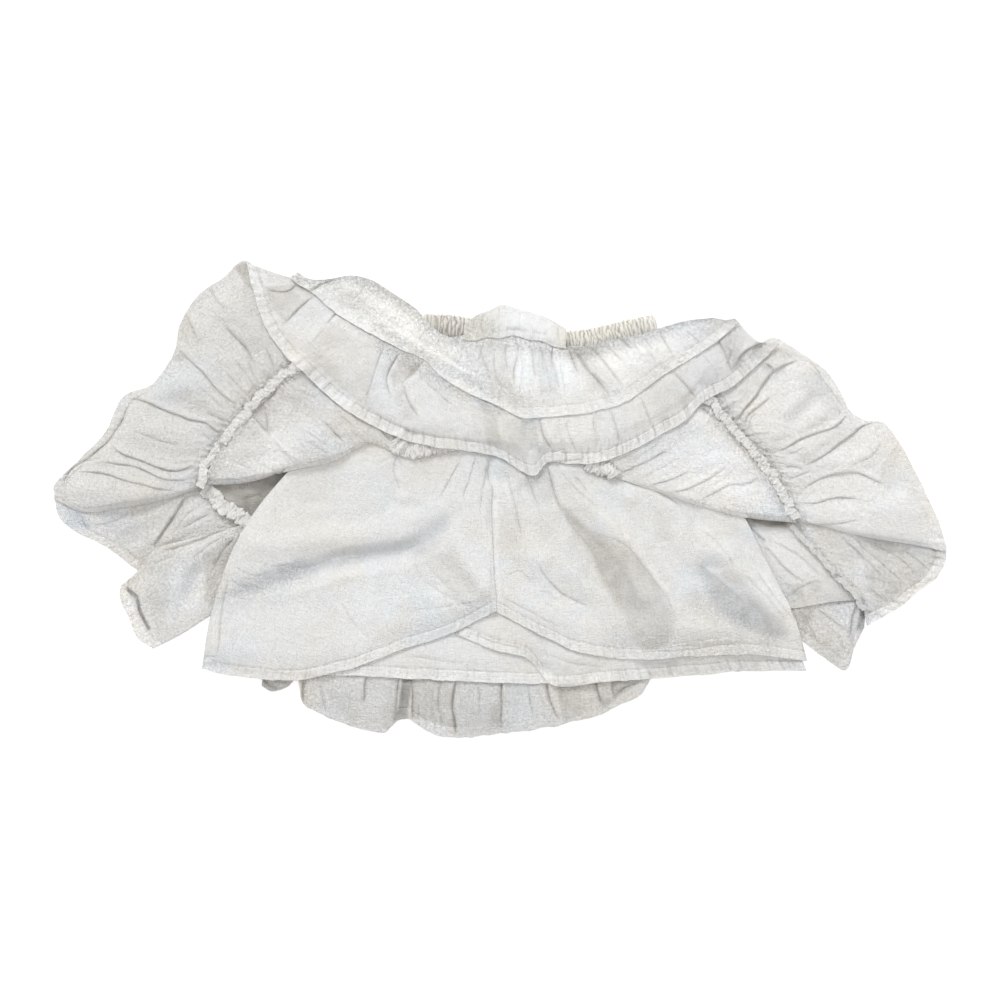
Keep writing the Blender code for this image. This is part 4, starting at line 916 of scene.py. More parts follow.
def paintedShadeField(grid, piece, sign):
    # painted warm shade in the cloth, or painted cool shade where the strength is below zero
    paintedWarmShade = np.full(grid.shape[:2], max(sign * piece["paintedWarmShade"], 0.0))
    for strength, reach, *numbers in piece["paintedShadeLines"]:
        points = pairs(numbers)
        near = nearby(grid, points, 2 * reach)
        if near.any() and sign * strength > 0:
            best = nearLine(grid[near], points)[0]
            uneven = 1 + 0.35 * noise(*(grid[near].T / 7), int(points[0, 0]))
            paintedWarmShade[near] = np.maximum(paintedWarmShade[near], abs(strength) * uneven * np.exp(-(best / reach) ** 3))
    return paintedWarmShade


def facetField(grid, piece, wanted):
    # painted light (light facets) and painted shade (grey, warm and cool facets) over a part of the cloth, as
    # if it were turned a little from the rest, inside its outline
    field = np.zeros(grid.shape[:2])
    for kind, strength, softness, *numbers in piece["facets"]:
        corners = pairs(numbers)
        near = nearby(grid, corners, 2 * softness + 2)
        if kind != wanted or not near.any():
            continue
        x, y = grid[near].T
        corners = np.concatenate([corners, corners[:1]])
        inside = np.zeros(len(x), bool)
        for a, b in zip(corners[:-1], corners[1:]):
            crosses = (a[1] > y) != (b[1] > y)
            inside ^= crosses & (x < a[0] + (y - a[1]) * (b[0] - a[0]) / ((b[1] - a[1]) or 1e-9))
        depth = nearLine(grid[near], corners)[0] * np.where(inside, 1, -1)
        uneven = 1 + 0.3 * noise(x / 8, y / 8, int(corners[0, 1]))
        field[near] = np.maximum(field[near], strength * uneven * smooth(0.5 + depth / (2 * softness)))
    return field


def waver(grid, piece):
    # the free edge isn't quite even
    run, edge = fromEdge(grid, 0, last=False), fromHem(grid)
    seed = piece["seed"]
    wave = 0.8 * noise(run / 17.0, run * 0, seed + 11) + 0.5 * noise(run / 6.0, run * 0, seed + 12)
    outward = np.gradient(grid, axis=1)
    outward /= np.maximum(np.linalg.norm(outward, axis=2), 1e-9)[..., None]
    return grid + outward * (wave * smooth(1 - edge / 22.0) * piece["ripple"])[..., None]


def clothForm(nodeName, grid, piece, rest):
    # the solid's form, a little fuller, with its free edge let down on what is under it
    form, low, wide = nodeForm(nodeName)
    near = readMap(form, low, grid)
    top = near + (piece["puff"] - 1) * (near - readMap(wide, low, grid))
    reach = piece["restReach"] or (hem["restReach"] if piece["hem"] else 0)
    if reach:
        share = piece["lift"] + (1 - piece["lift"]) * smooth(fromHem(grid) / reach)
        top = rest + np.maximum(top - rest, 0) * share
    return settle(top, rest, piece["settle"])


def stitchHem(nodeName, grid, top, shown, seed):
    # a row of stitches along the turned hem, where it shows
    inward = -fromHem(grid)
    spots = np.dstack([grid, top + stitches["lift"]])
    line = np.array([[np.interp(stitches["inset"] - hem["width"], inward[k], spots[k, :, axis])
                      for axis in range(3)] for k in range(len(grid))])
    seen = np.flatnonzero(shown > 0.3)
    runs = np.split(line[seen], np.flatnonzero(np.diff(seen) > 1) + 1)
    sizes = {key.title(): stitches[key] / 1000 for key in ("pitch", "length", "thickness")}
    thread = alongPaths(nodeName + "_stitches", [toWorld(part) for part in runs if len(part) > 3], stitchRow,
                        materials["thread"], {**sizes, "Seed": seed})
    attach(thread, "root")
    return thread


def layCloth(nodeName, piece):
    # one panel: its plan and the solid's form, then its relief, its place on the pile and its colour
    piece = {**plainPiece, **piece}
    seed = piece["seed"]
    grid = waver(panelGrid(piece), piece) if piece["hem"] else panelGrid(piece)
    creases = list(piece["creases"])
    grid = drawMesh(grid, creases)
    x, y = grid[..., 0], grid[..., 1]
    wall = piece["wall"]
    below = pileUnder(grid) + table["gap"]
    top = clothForm(nodeName, grid, piece, below + wall)

    # the relief: creases, gathers and crumple
    folds, paintedShading = creaseField(grid, creases + smallCreases(grid, piece["scatter"], seed + 50))
    top += folds
    for gathers in piece["gathers"]:
        top += gatherField(grid, *gathers)
    size, height = piece["crumple"]
    rough = roughness(grid, piece)
    top += height * crumple(x, y, size, seed)
    top += (0.2 + 0.5 * rough) * height * crumple(x, y, size * cloth["fineShare"], seed + 20)
    top += cloth["crinkleHeight"] * rough * crumple(x, y, cloth["crinkleSize"], seed + 30)
    # painted light from light facets and from the piece's own setting, and painted shade from grey facets
    doubled = facetField(grid, piece, "light") - cloth["grey"] * facetField(grid, piece, "grey")
    doubled += piece["paintedLight"]
    shown = shownHem(grid, piece)
    if piece["hem"]:
        turned, shade = hemField(grid, piece, shown[:, None])
        top += turned
        paintedShading = np.maximum(paintedShading, shade)
        # the doubled hem strip is made lighter
        doubled += smooth((hem["width"] - 1 - fromHem(grid)) / 1.2) * shown[:, None]
    if piece["ruche"]:
        drawn = bell(fromSeam(grid), 0, cloth["drawnReach"])
        worms = crumple(x, y, cloth["rucheSize"], seed + 60)
        top += piece["ruche"] * drawn * worms
        # painted shade in the hollows between the small folds
        paintedShading = paintedShading + 0.5 * drawn * np.clip(0.25 - worms, 0, 0.6)

    # its place: never closer to what lies below than its own thickness
    least = below + wall / np.maximum(upwardPart(grid, top), cloth["steepest"])
    if piece["folded"]:
        inside = 1 - np.clip(fromEdge(grid, 0, last=True) / cloth["foldRadius"], 0, 1)
        top = least + np.maximum(top - least, 0.0) * np.sqrt(1 - inside ** 2)
    top = np.maximum(top, least)
    under = top - wall / np.maximum(upwardPart(grid, top), cloth["steepest"])
    under = np.maximum(under, np.minimum(pileUnder(grid, 1) + table["gap"] / 2, top - cloth["thinnest"]))
    coverPile(grid, top)

    # painted warm shade and the crease, tuck and ruche shade go to the stain colour (on the waist, also its
    # cream); painted cool shade goes to the shadow colour
    warm = np.maximum(0.6 * paintedShadeField(grid, piece, 1), facetField(grid, piece, "warm"))
    warm = warm + piece["paintedCreaseShade"] * paintedShading
    cool = np.maximum(paintedShadeField(grid, piece, -1), facetField(grid, piece, "cool"))
    painted = {"crinkled": rough, "doubled": doubled, "paintedShadeAndStain": np.clip(warm, 0, 1),
               "paintedCoolShade": np.clip(cool, 0, 1)}
    made = shellObject(nodeName + "_cloth", grid, top, under, painted, materials[piece["finish"]])
    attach(made, "root")
    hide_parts(nodeName)
    seams = [stitchHem(nodeName, grid, top, shown, seed)] if piece["hem"] else []
    print("laid", nodeName, "faces", len(made.data.polygons), "top", round(float(top.max()), 1))
    return made


# Each piece says its finish, how its sheet is held, a seed, the size and height of its crumple, and its
# sections, which are lines across the cloth. A row of a table ends with its points, x and y in turn.


# the back of the skirt, wrong side up beneath everything

backFlounceRightUnder = {
    "finish": "wrongSide", "held": "laid", "seed": 31, "hem": True, "crumple": (37, 1.1),
    "scatter": (20, 14, 0.8, 0.8), "rough": 0.3, "paintedLight": 1.1, "paintedWarmShade": 0.25,
    "sections": (  # seam, hem
        (770, 585, 776, 622), (800, 590, 803, 641), (824, 590, 822, 656), (846, 588, 848, 670),
        (858, 590, 856, 646), (868, 594, 865, 628)),
    "creases": (
        ("lap", 2.2, 1.5, 817, 608, 832, 620, 850, 633), ("fold", 1.4, 1.3, 822, 622, 840, 640, 848, 658),
        ("fold", 1.4, 1.3, 803, 612, 812, 630, 822, 650), ("valley", 1.6, 6, 806, 612, 835, 655),
        ("lap", 2, 1.5, 860, 600, 852, 620, 850, 640)),
    "paintedShadeLines": ((0.4, 16, 812, 620, 836, 650), (1.3, 6, 864, 604, 868, 616)),
    "facets": (
        ("grey", 0.6, 1.5, 798, 608, 816, 608, 808, 630, 800, 622),
        ("grey", 0.5, 8, 804, 630, 820, 638, 848, 670, 830, 668),
        ("grey", 1.6, 1.4, 863, 602, 874, 616, 866, 632, 857, 630)),
}
layCloth("back_flounce_right_under", backFlounceRightUnder)

backFlounceLeftOuter = {
    "finish": "wrongSide", "held": "gathered", "seed": 32, "hem": True, "crumple": (41, 1.3),
    "scatter": (40, 16, 0.9, 0.6), "ruche": 1.6, "rough": 0.25, "paintedLight": 0.7,
    "gathers": ((4.6, 1.1, 13, 5, 2), (13, 1.6, 55, 65, 2)),
    "sections": (  # seam, middle, hem
        (248, 532, 197, 551, 139, 573), (238, 521, 182, 538, 119, 557), (228, 511, 166, 524, 96, 542),
        (220, 498, 150, 509, 75, 532), (214, 484, 140, 496, 58, 516), (208, 472, 135, 482, 53, 497)),
    "creases": (
        ("lap", 3.6, 1.6, 187, 492, 176, 512, 163, 530, 152, 548),
        ("fold", 2, 1.4, 212, 512, 200, 518, 180, 530), ("valley", 2, 7, 150, 525, 130, 540, 112, 548),
        ("fold", 1.6, 1.2, 128, 512, 112, 522, 92, 527), ("valley", -2, 9, 190, 504, 172, 530, 158, 541),
        ("valley", 1.8, 7, 170, 500, 140, 508, 90, 512), ("lap", 2.2, 1.4, 79, 514, 82, 521, 85, 529),
        ("fold", 1.4, 1.3, 120, 545, 132, 556, 140, 566), ("fold", 1.2, 1.2, 205, 500, 186, 516, 172, 536)),
    "paintedShadeLines": (
        (-0.6, 11, 60, 500, 70, 514, 80, 524), (0.5, 14, 176, 500, 168, 518), (0.35, 18, 150, 520, 128, 544),
        (-0.3, 14, 110, 520, 130, 530)),
}
layCloth("back_flounce_left_outer", backFlounceLeftOuter)

backFlounceCentre = {
    "finish": "wrongSide", "held": "gathered", "seed": 33, "hem": True, "covered": 0.42, "crumple": (29, 1),
    "scatter": (60, 18, 0.9, 0.3), "ripple": 1.4, "rough": 0.25, "paintedWarmShade": 0.06, "paintedCreaseShade": 1,
    "sections": (  # seam, hem
        (258, 612, 261, 685), (268, 612, 272, 693), (281, 613, 287, 687), (292, 614, 296, 680),
        (300, 615, 302, 703), (320, 616, 318, 713), (345, 617, 342, 724), (366, 618, 365, 731),
        (383, 619, 387, 731), (391, 620, 395, 722), (401, 620, 404, 719), (418, 620, 421, 728),
        (437, 620, 437, 737), (454, 620, 455, 739), (470, 620, 471, 737), (500, 620, 502, 733),
        (520, 620, 522, 732), (537, 619, 543, 729), (553, 618, 563, 725), (572, 617, 590, 719),
        (590, 615, 613, 709), (604, 613, 630, 702), (617, 610, 643, 692), (628, 606, 652, 677)),
    "hemShown": (
        (261, 685, 0), (303, 703, 0), (390, 722, 0), (404, 719, 0.5), (421, 728, 1), (455, 739, 0.9),
        (471, 737, 0.2), (502, 733, 0), (563, 725, 0), (652, 677, 0)),
    "creases": (
        ("tuck", 3.6, 1.6, 301, 672, 302, 690, 303, 705), ("tuck", 3, 1.6, 366, 672, 364, 690, 364, 704),
        ("valley", 2.4, 6, 334, 692, 346, 708, 360, 724), ("tuck", -5, 1.8, 399, 674, 397, 700, 393, 728),
        ("valley", 3, 4, 404, 674, 405, 700, 404, 720), ("tuck", 3, 1.6, 411, 676, 412, 700, 412, 722),
        ("tuck", 4.6, 1.6, 455, 676, 452, 704, 456, 738), ("fold", 1.6, 1.4, 440, 680, 438, 704, 444, 728),
        ("tuck", -4.6, 1.5, 502, 674, 502, 700, 502, 733), ("fold", 1.4, 1.4, 478, 684, 480, 704, 478, 720),
        ("tuck", -3.8, 1.6, 546, 676, 550, 700, 561, 724), ("fold", 1.6, 1.4, 528, 684, 530, 702, 534, 720),
        ("ridge", 1.8, 1.8, 578, 680, 582, 700, 587, 714), ("tuck", -3.4, 1.5, 597, 676, 598, 692, 604, 708),
        ("fold", 2.8, 1.6, 640, 683, 626, 688, 614, 697), ("tuck", 2.6, 1.5, 612, 676, 612, 690, 618, 702),
        ("fold", 1.4, 1.4, 320, 684, 322, 698, 326, 712), ("fold", 2.2, 1.6, 262, 678, 268, 686, 282, 690),
        ("valley", 2, 5, 565, 690, 570, 704, 576, 716), ("valley", 1.6, 6, 428, 690, 430, 708, 434, 728),
        ("valley", 1.6, 6, 520, 690, 522, 706, 526, 722)),
    "paintedShadeLines": ((0.3, 6, 386, 690, 388, 724),),
    "facets": (
        ("warm", 0.14, 2, 303, 683, 362, 683, 364, 705, 356, 724, 340, 716, 303, 705),
        ("warm", 0.34, 5, 318, 684, 334, 692, 350, 706, 362, 718, 354, 726, 334, 708),
        ("cool", 0.2, 1.5, 365, 682, 400, 682, 393, 730, 380, 731, 362, 728),
        ("grey", 1.7, 1.2, 402, 680, 412, 680, 409, 700, 408, 720, 394, 721, 399, 702),
        ("warm", 0.42, 2, 413, 680, 454, 680, 452, 704, 457, 730, 440, 724, 411, 718),
        ("cool", 0.22, 2, 458, 680, 502, 680, 502, 733, 458, 738, 456, 704),
        ("grey", 0.35, 7, 462, 706, 500, 706, 500, 732, 462, 734),
        ("warm", 0.45, 4, 488, 704, 500, 704, 500, 728, 488, 724),
        ("cool", 0.12, 1.5, 505, 680, 545, 680, 556, 728, 505, 731),
        ("light", 1, 1.2, 545, 680, 549, 680, 562, 722, 556, 726),
        ("warm", 0.42, 1.6, 555, 682, 580, 682, 583, 716, 564, 722),
        ("warm", 0.12, 1.5, 580, 682, 597, 682, 598, 702, 592, 718, 583, 718),
        ("grey", 0.5, 1.5, 599, 682, 611, 682, 616, 696, 602, 712, 598, 700),
        ("grey", 1.1, 1.4, 612, 680, 643, 680, 630, 690, 617, 698),
        ("grey", 1.3, 2, 258, 676, 300, 676, 296, 682, 284, 689, 272, 697, 260, 692)),
}
layCloth("back_flounce_centre", backFlounceCentre)

backTier = {
    "finish": "wrongSide", "held": "laid", "seed": 34, "step": 2.5, "settle": 2, "crumple": (44, 1),
    "scatter": (40, 14, 0.7, 1.5), "paintedLight": 1.6,
    "sections": (  # left, middle, right
        (432, 345, 545, 350, 660, 345), (350, 392, 530, 398, 708, 398), (272, 440, 515, 445, 752, 452),
        (201, 478, 505, 485, 778, 500), (214, 500, 505, 520, 796, 529), (243, 527, 505, 555, 830, 566),
        (282, 572, 505, 590, 856, 588), (318, 600, 505, 615, 866, 597),
        (338, 612, 400, 628, 500, 634, 600, 628, 700, 616, 800, 608, 835, 602, 866, 600)),
    "creases": (
        ("lap", 2, 1.4, 752, 527, 758, 535, 765, 542), ("lap", 1.5, 1.5, 765, 545, 790, 572, 805, 583),
        ("fold", 0.9, 1.3, 788, 598, 797, 591, 806, 586, 820, 579), ("valley", -1.8, 8, 800, 566, 836, 594),
        ("fold", 1.4, 1.6, 240, 500, 262, 494), ("fold", 1.6, 1.6, 770, 540, 800, 556, 826, 580)),
    "paintedShadeLines": ((1.4, 30, 228, 500, 250, 505, 276, 490), (1.6, 8, 740, 515, 765, 521, 786, 522)),
    "facets": (
        ("grey", 0.75, 1.2, 786, 585, 803, 584, 804, 600, 792, 593),
        ("grey", 0.45, 1.4, 808, 583, 821, 579, 822, 592, 815, 593),
        ("grey", 0.5, 1.5, 804, 599, 808, 606, 800, 604),
        ("grey", 2.4, 2, 742, 512, 762, 516, 788, 520, 788, 526, 770, 527, 752, 521),
        ("grey", 1.5, 8, 196, 474, 292, 468, 278, 486, 252, 494, 214, 492),
        ("grey", 1.1, 5, 226, 486, 276, 480, 258, 510, 246, 524, 230, 504),
        ("warm", 0.5, 8, 206, 476, 290, 470, 262, 500, 240, 512)),
}
layCloth("back_tier", backTier)

backFlounceLeftInner = {
    "finish": "wrongSide", "held": "gathered", "seed": 35, "hem": True, "crumple": (41, 1.4),
    "scatter": (36, 16, 0.9, 0.6), "hemStep": 1.6, "ruche": 2, "rough": 0.25, "paintedLight": 0.9,
    "gathers": ((4.6, 1.1, 13, 6, 2), (14, 1.6, 45, 66, 2)),
    "sections": (  # seam, middle, hem
        (246, 524, 190, 538, 151, 552, 137, 571, 120, 586), (250, 536, 195, 552, 150, 573, 119, 598),
        (256, 550, 192, 576, 127, 616), (264, 566, 192, 596, 136, 637),
        (272, 582, 213, 614, 178, 636, 152, 649)),
    "creases": (
        ("lap", 2.4, 1.5, 232, 528, 215, 533, 180, 546, 158, 552),
        ("valley", 2, 8, 214, 552, 200, 570, 184, 602), ("valley", -1.6, 9, 196, 552, 184, 576, 172, 606),
        ("valley", 2, 8, 232, 548, 220, 570, 210, 596), ("fold", 1.4, 1.2, 236, 536, 222, 552, 212, 572),
        ("fold", 1.2, 1.2, 228, 534, 208, 546, 192, 560), ("fold", 1.2, 1.2, 243, 540, 232, 560, 226, 580),
        ("fold", 1, 1.2, 150, 566, 162, 560, 176, 556),
        ("fold", 2.8, 1.4, 128, 588, 137, 598, 138, 612, 147, 628)),
    "paintedShadeLines": (
        (-0.3, 16, 190, 570, 178, 610), (0.35, 10, 225, 560, 214, 590), (0.3, 12, 150, 560, 170, 552),
        (0.2, 14, 160, 600, 172, 630)),
    "facets": (
        ("grey", 2.2, 0.9, 127, 587, 137, 596, 141, 612, 150, 629, 147, 631, 138, 614, 134, 600, 125, 590),
        ("light", 1.2, 1.5, 119, 586, 133, 601, 137, 615, 146, 632, 152, 648, 136, 638, 118, 602),
        ("light", 0.8, 6, 176, 566, 204, 558, 206, 590, 184, 622, 166, 620, 170, 590),
        ("cool", 0.2, 6, 176, 566, 204, 558, 206, 590, 184, 622, 166, 620, 170, 590),
        ("warm", 0.4, 3, 204, 556, 226, 536, 246, 548, 234, 580, 214, 610, 204, 600),
        ("warm", 0.25, 4, 146, 588, 166, 572, 170, 600, 160, 640, 152, 622)),
}
layCloth("back_flounce_left_inner", backFlounceLeftInner)

backFlounceRight = {
    "finish": "wrongSide", "held": "gathered", "seed": 36, "hem": True, "crumple": (34, 1.4),
    "scatter": (40, 16, 0.9, 0.6), "ripple": 1.6, "hemStep": 1.6, "pucker": 0.8, "cuts": 1.6, "rough": 0.3,
    "paintedLight": 1.4,
    "gathers": ((4.6, 1.1, 13, 7, 2), (14, 1.6, 50, 67, 2)),
    "sections": (  # seam, middle, hem
        (782, 512, 860, 526, 944, 545), (792, 524, 865, 541, 947, 555), (806, 540, 872, 556, 943, 567),
        (822, 557, 880, 572, 934, 581), (840, 575, 885, 586, 918, 593), (853, 590, 880, 599, 903, 605),
        (861, 600, 872, 609, 884, 617), (864, 609, 866, 618, 868, 627)),
    "creases": (
        ("lap", -3.4, 1.6, 852, 537, 880, 562, 910, 588), ("fold", 2.2, 1.5, 842, 537, 862, 556, 880, 574),
        ("valley", 1.8, 6, 822, 545, 845, 565, 866, 588), ("fold", 1.6, 1.4, 876, 546, 902, 560, 920, 578),
        ("fold", 1.4, 1.4, 905, 552, 920, 562, 932, 572), ("valley", -1.6, 6, 832, 545, 868, 584),
        ("fold", 1.2, 1.4, 870, 588, 880, 596, 890, 604)),
    "facets": (
        ("grey", 0.4, 8, 806, 520, 858, 536, 876, 560, 850, 560, 820, 540),
        ("grey", 0.6, 5, 866, 566, 884, 566, 902, 590, 892, 602, 878, 606, 866, 590),
        ("grey", 0.9, 2.5, 856, 534, 946, 548, 936, 556, 900, 553, 880, 553),
        ("warm", 0.3, 2, 858, 540, 940, 556, 914, 588, 890, 566),
        ("light", 1.6, 1.2, 870, 621, 905, 596, 925, 578, 944, 556, 950, 566, 936, 590, 905, 610, 880, 626)),
}
layCloth("back_flounce_right", backFlounceRight)

backSeams = {
    "back_seam_left": {
        "path": (203, 488, 212, 494, 223, 506, 236, 516, 250, 526),
        "width": 14, "height": 1.4, "pitch": 3.6, "depth": 0.9, "wander": 1.6, "lumps": 10, "jitter": 2.2,
        "seed": 3, "finish": "litSeamEdge"},
    "back_seam_right": {
        "path": (792, 525, 806, 541, 822, 559, 840, 579, 852, 592, 865, 610),
        "width": 5.5, "height": 1.1, "pitch": 4, "depth": 0.5, "wander": 1.2, "lumps": 3.5, "groove": 0.4,
        "jitter": 1.2, "seed": 4, "finish": "shadedFlatSeam"},
}
for nodeName, ridge in backSeams.items():
    layRidge(nodeName, ridge)

waistbandBack = {
    "path": (423, 325, 446, 326, 472, 330, 502, 337, 537, 342, 576, 342, 602, 337, 632, 330, 657, 325),
    "width": 23, "height": 6.5, "pitch": 4.1, "depth": 3.3, "wander": 0.7, "lumps": 5, "groove": 1,
    "dusk": 0.3, "seed": 9, "finish": "cream",
}
layRidge("waistband_back", waistbandBack)


# the shorts

shortsBackLeft = {
    "finish": "rightSide", "held": "laid", "seed": 41, "hem": True, "covered": 0.78, "crumple": (37, 0.8),
    "sections": (  # waist to hem, from the side to the crotch
        (438, 352, 292, 480, 240, 560, 214, 620, 208, 660), (455, 352, 345, 500, 300, 590, 290, 672),
        (475, 352, 410, 500, 380, 590, 376, 677), (490, 352, 470, 500, 455, 590, 450, 681),
        (503, 352, 505, 500, 520, 600, 530, 684), (512, 352, 540, 500, 570, 600, 596, 683)),
    "creases": (("fold", 1.2, 3, 400, 655, 430, 660, 470, 664),),
}
layCloth("shorts_back_left", shortsBackLeft)

shortsBackRight = {
    "finish": "rightSide", "held": "laid", "seed": 42, "hem": True, "covered": 0.78, "crumple": (37, 0.8),
    "hemStep": 1.3, "pucker": 0.6, "cuts": 1.4,
    "sections": (  # waist to hem, from the crotch to the side
        (497, 352, 478, 560, 456, 634), (504, 352, 492, 560, 476, 643), (511, 352, 508, 560, 500, 652),
        (517, 352, 525, 560, 526, 658), (523, 352, 540, 560, 552, 685), (534, 352, 575, 560, 600, 683),
        (552, 352, 620, 560, 660, 679), (590, 352, 690, 560, 740, 672),
        (640, 352, 738, 520, 780, 600, 807, 671)),
    "creases": (
        ("fold", 1.6, 2, 470, 634, 496, 643, 526, 650), ("fold", 1.2, 2, 540, 652, 575, 664, 610, 668),
        ("valley", 2, 7, 480, 655, 520, 668, 560, 674)),
    "facets": (
        ("grey", 0.55, 3, 640, 663, 700, 661, 764, 659, 764, 672, 700, 674, 650, 678),
        ("grey", 0.22, 3, 764, 659, 808, 659, 808, 671, 764, 672),
        ("grey", 0.3, 5, 512, 640, 560, 656, 600, 662, 600, 674, 556, 676, 530, 660)),
}
layCloth("shorts_back_right", shortsBackRight)

shortsFrontRight = {
    "finish": "rightSide", "held": "laid", "seed": 43, "hem": True, "covered": 0.36, "wall": 0.6,
    "crumple": (44, 1.2), "scatter": (46, 16, 0.55, 1.5), "hemStep": 1.1, "pucker": 0.5,
    "sections": (  # waist to hem, from the centre seam to the side
        (492, 346, 484, 470, 486, 500, 489, 560, 493, 610), (505, 346, 515, 480, 520, 560, 528, 629),
        (520, 346, 550, 480, 563, 560, 574, 650), (540, 346, 592, 480, 613, 560, 634, 660),
        (565, 346, 640, 480, 670, 560, 690, 657), (595, 346, 692, 480, 725, 560, 750, 655),
        (632, 346, 742, 512, 774, 575, 794, 615, 808, 661)),
    "creases": (
        ("fold", 3, 1.6, 547, 462, 552, 485, 562, 512), ("valley", 5, 11, 522, 474, 534, 520, 552, 560),
        ("valley", 2.4, 10, 540, 560, 560, 588, 590, 610),
        ("fold", 2.4, 1.5, 535, 560, 546, 577, 560, 592, 576, 602, 592, 608),
        ("fold", 1.8, 1.6, 562, 512, 576, 530, 592, 552, 600, 566),
        ("valley", -4, 10, 556, 520, 572, 560, 590, 604),
        ("valley", 6, 11, 572, 520, 600, 556, 628, 600, 652, 646),
        ("valley", -5.6, 8, 594, 512, 630, 540, 654, 568, 676, 606),
        ("lap", 1.1, 3, 590, 532, 620, 541, 640, 562, 655, 582, 668, 598, 676, 620),
        ("valley", -3.4, 9, 594, 478, 640, 503), ("fold", 1.8, 1.5, 655, 490, 672, 500, 690, 512),
        ("valley", 6.6, 13, 694, 556, 728, 592, 766, 640), ("fold", 1.4, 1.5, 700, 565, 724, 584, 748, 606),
        ("valley", -4.6, 11, 716, 536, 756, 580, 788, 630), ("fold", 1.2, 1.6, 742, 572, 762, 592, 786, 620),
        ("fold", 1.8, 1.6, 755, 568, 775, 598, 796, 622), ("lap", 0.7, 1.3, 505, 577, 520, 571, 532, 582),
        ("valley", -3.4, 8, 506, 480, 510, 520, 518, 570), ("fold", 1.6, 1.5, 505, 470, 514, 500, 522, 540),
        ("fold", 1.4, 1.4, 522, 466, 532, 490, 540, 512), ("fold", 1.4, 1.4, 560, 470, 578, 492, 600, 508),
        ("fold", 1, 1.4, 500, 596, 530, 612, 560, 628),
        ("lap", -1.4, 1.4, 600, 640, 640, 650, 690, 642, 746, 636),
        ("fold", 1.2, 1.4, 636, 652, 690, 650, 750, 640), ("fold", 1, 1.4, 700, 528, 722, 548, 736, 570),
        ("fold", 1.4, 1.4, 570, 474, 580, 482, 588, 492), ("valley", 3.6, 8, 660, 478, 690, 508, 706, 536)),
    "patches": (
        (0.5, 20, 620, 640, 690, 648, 770, 646), (0.45, 16, 700, 600, 744, 624),
        (0.4, 14, 506, 470, 540, 474)),
    "facets": (
        ("warm", 0.46, 4, 558, 502, 570, 510, 588, 528, 622, 546, 640, 562, 662, 590, 676, 618, 668, 644,
         652, 652, 636, 646, 624, 612, 602, 584, 592, 552, 574, 528),
        ("warm", 0.2, 4, 598, 552, 620, 560, 640, 584, 636, 604, 612, 590),
        ("grey", 0.5, 3, 560, 506, 580, 522, 606, 548, 632, 580, 640, 612, 622, 600, 596, 568, 574, 536),
        ("light", 0.8, 3, 590, 522, 622, 534, 648, 558, 668, 590, 676, 616, 660, 592, 640, 566, 612, 542),
        ("grey", 1, 7, 702, 568, 716, 576, 744, 596, 778, 624, 788, 634, 768, 640, 738, 622, 712, 602),
        ("cool", 0.3, 8, 698, 562, 716, 572, 744, 592, 780, 620, 784, 640, 740, 634, 706, 604),
        ("light", 1, 1.8, 488, 476, 497, 476, 499, 560, 501, 604, 493, 604, 490, 560),
        ("light", 0.7, 3, 752, 566, 768, 574, 792, 606, 800, 630, 788, 624, 768, 596),
        ("cool", 0.12, 8, 534, 504, 556, 512, 592, 560, 598, 582, 560, 580, 540, 548),
        ("grey", 0.45, 4, 520, 466, 548, 466, 558, 500, 540, 504, 526, 490),
        ("grey", 0.3, 5, 552, 466, 600, 470, 620, 484, 580, 482, 560, 490),
        ("cool", 0.14, 6, 680, 556, 698, 566, 704, 600, 676, 620),
        ("warm", 0.12, 8, 500, 500, 520, 510, 526, 560, 504, 560),
        ("warm", 0.16, 5, 650, 500, 672, 512, 676, 550, 660, 540)),
}
layCloth("shorts_front_right", shortsFrontRight)

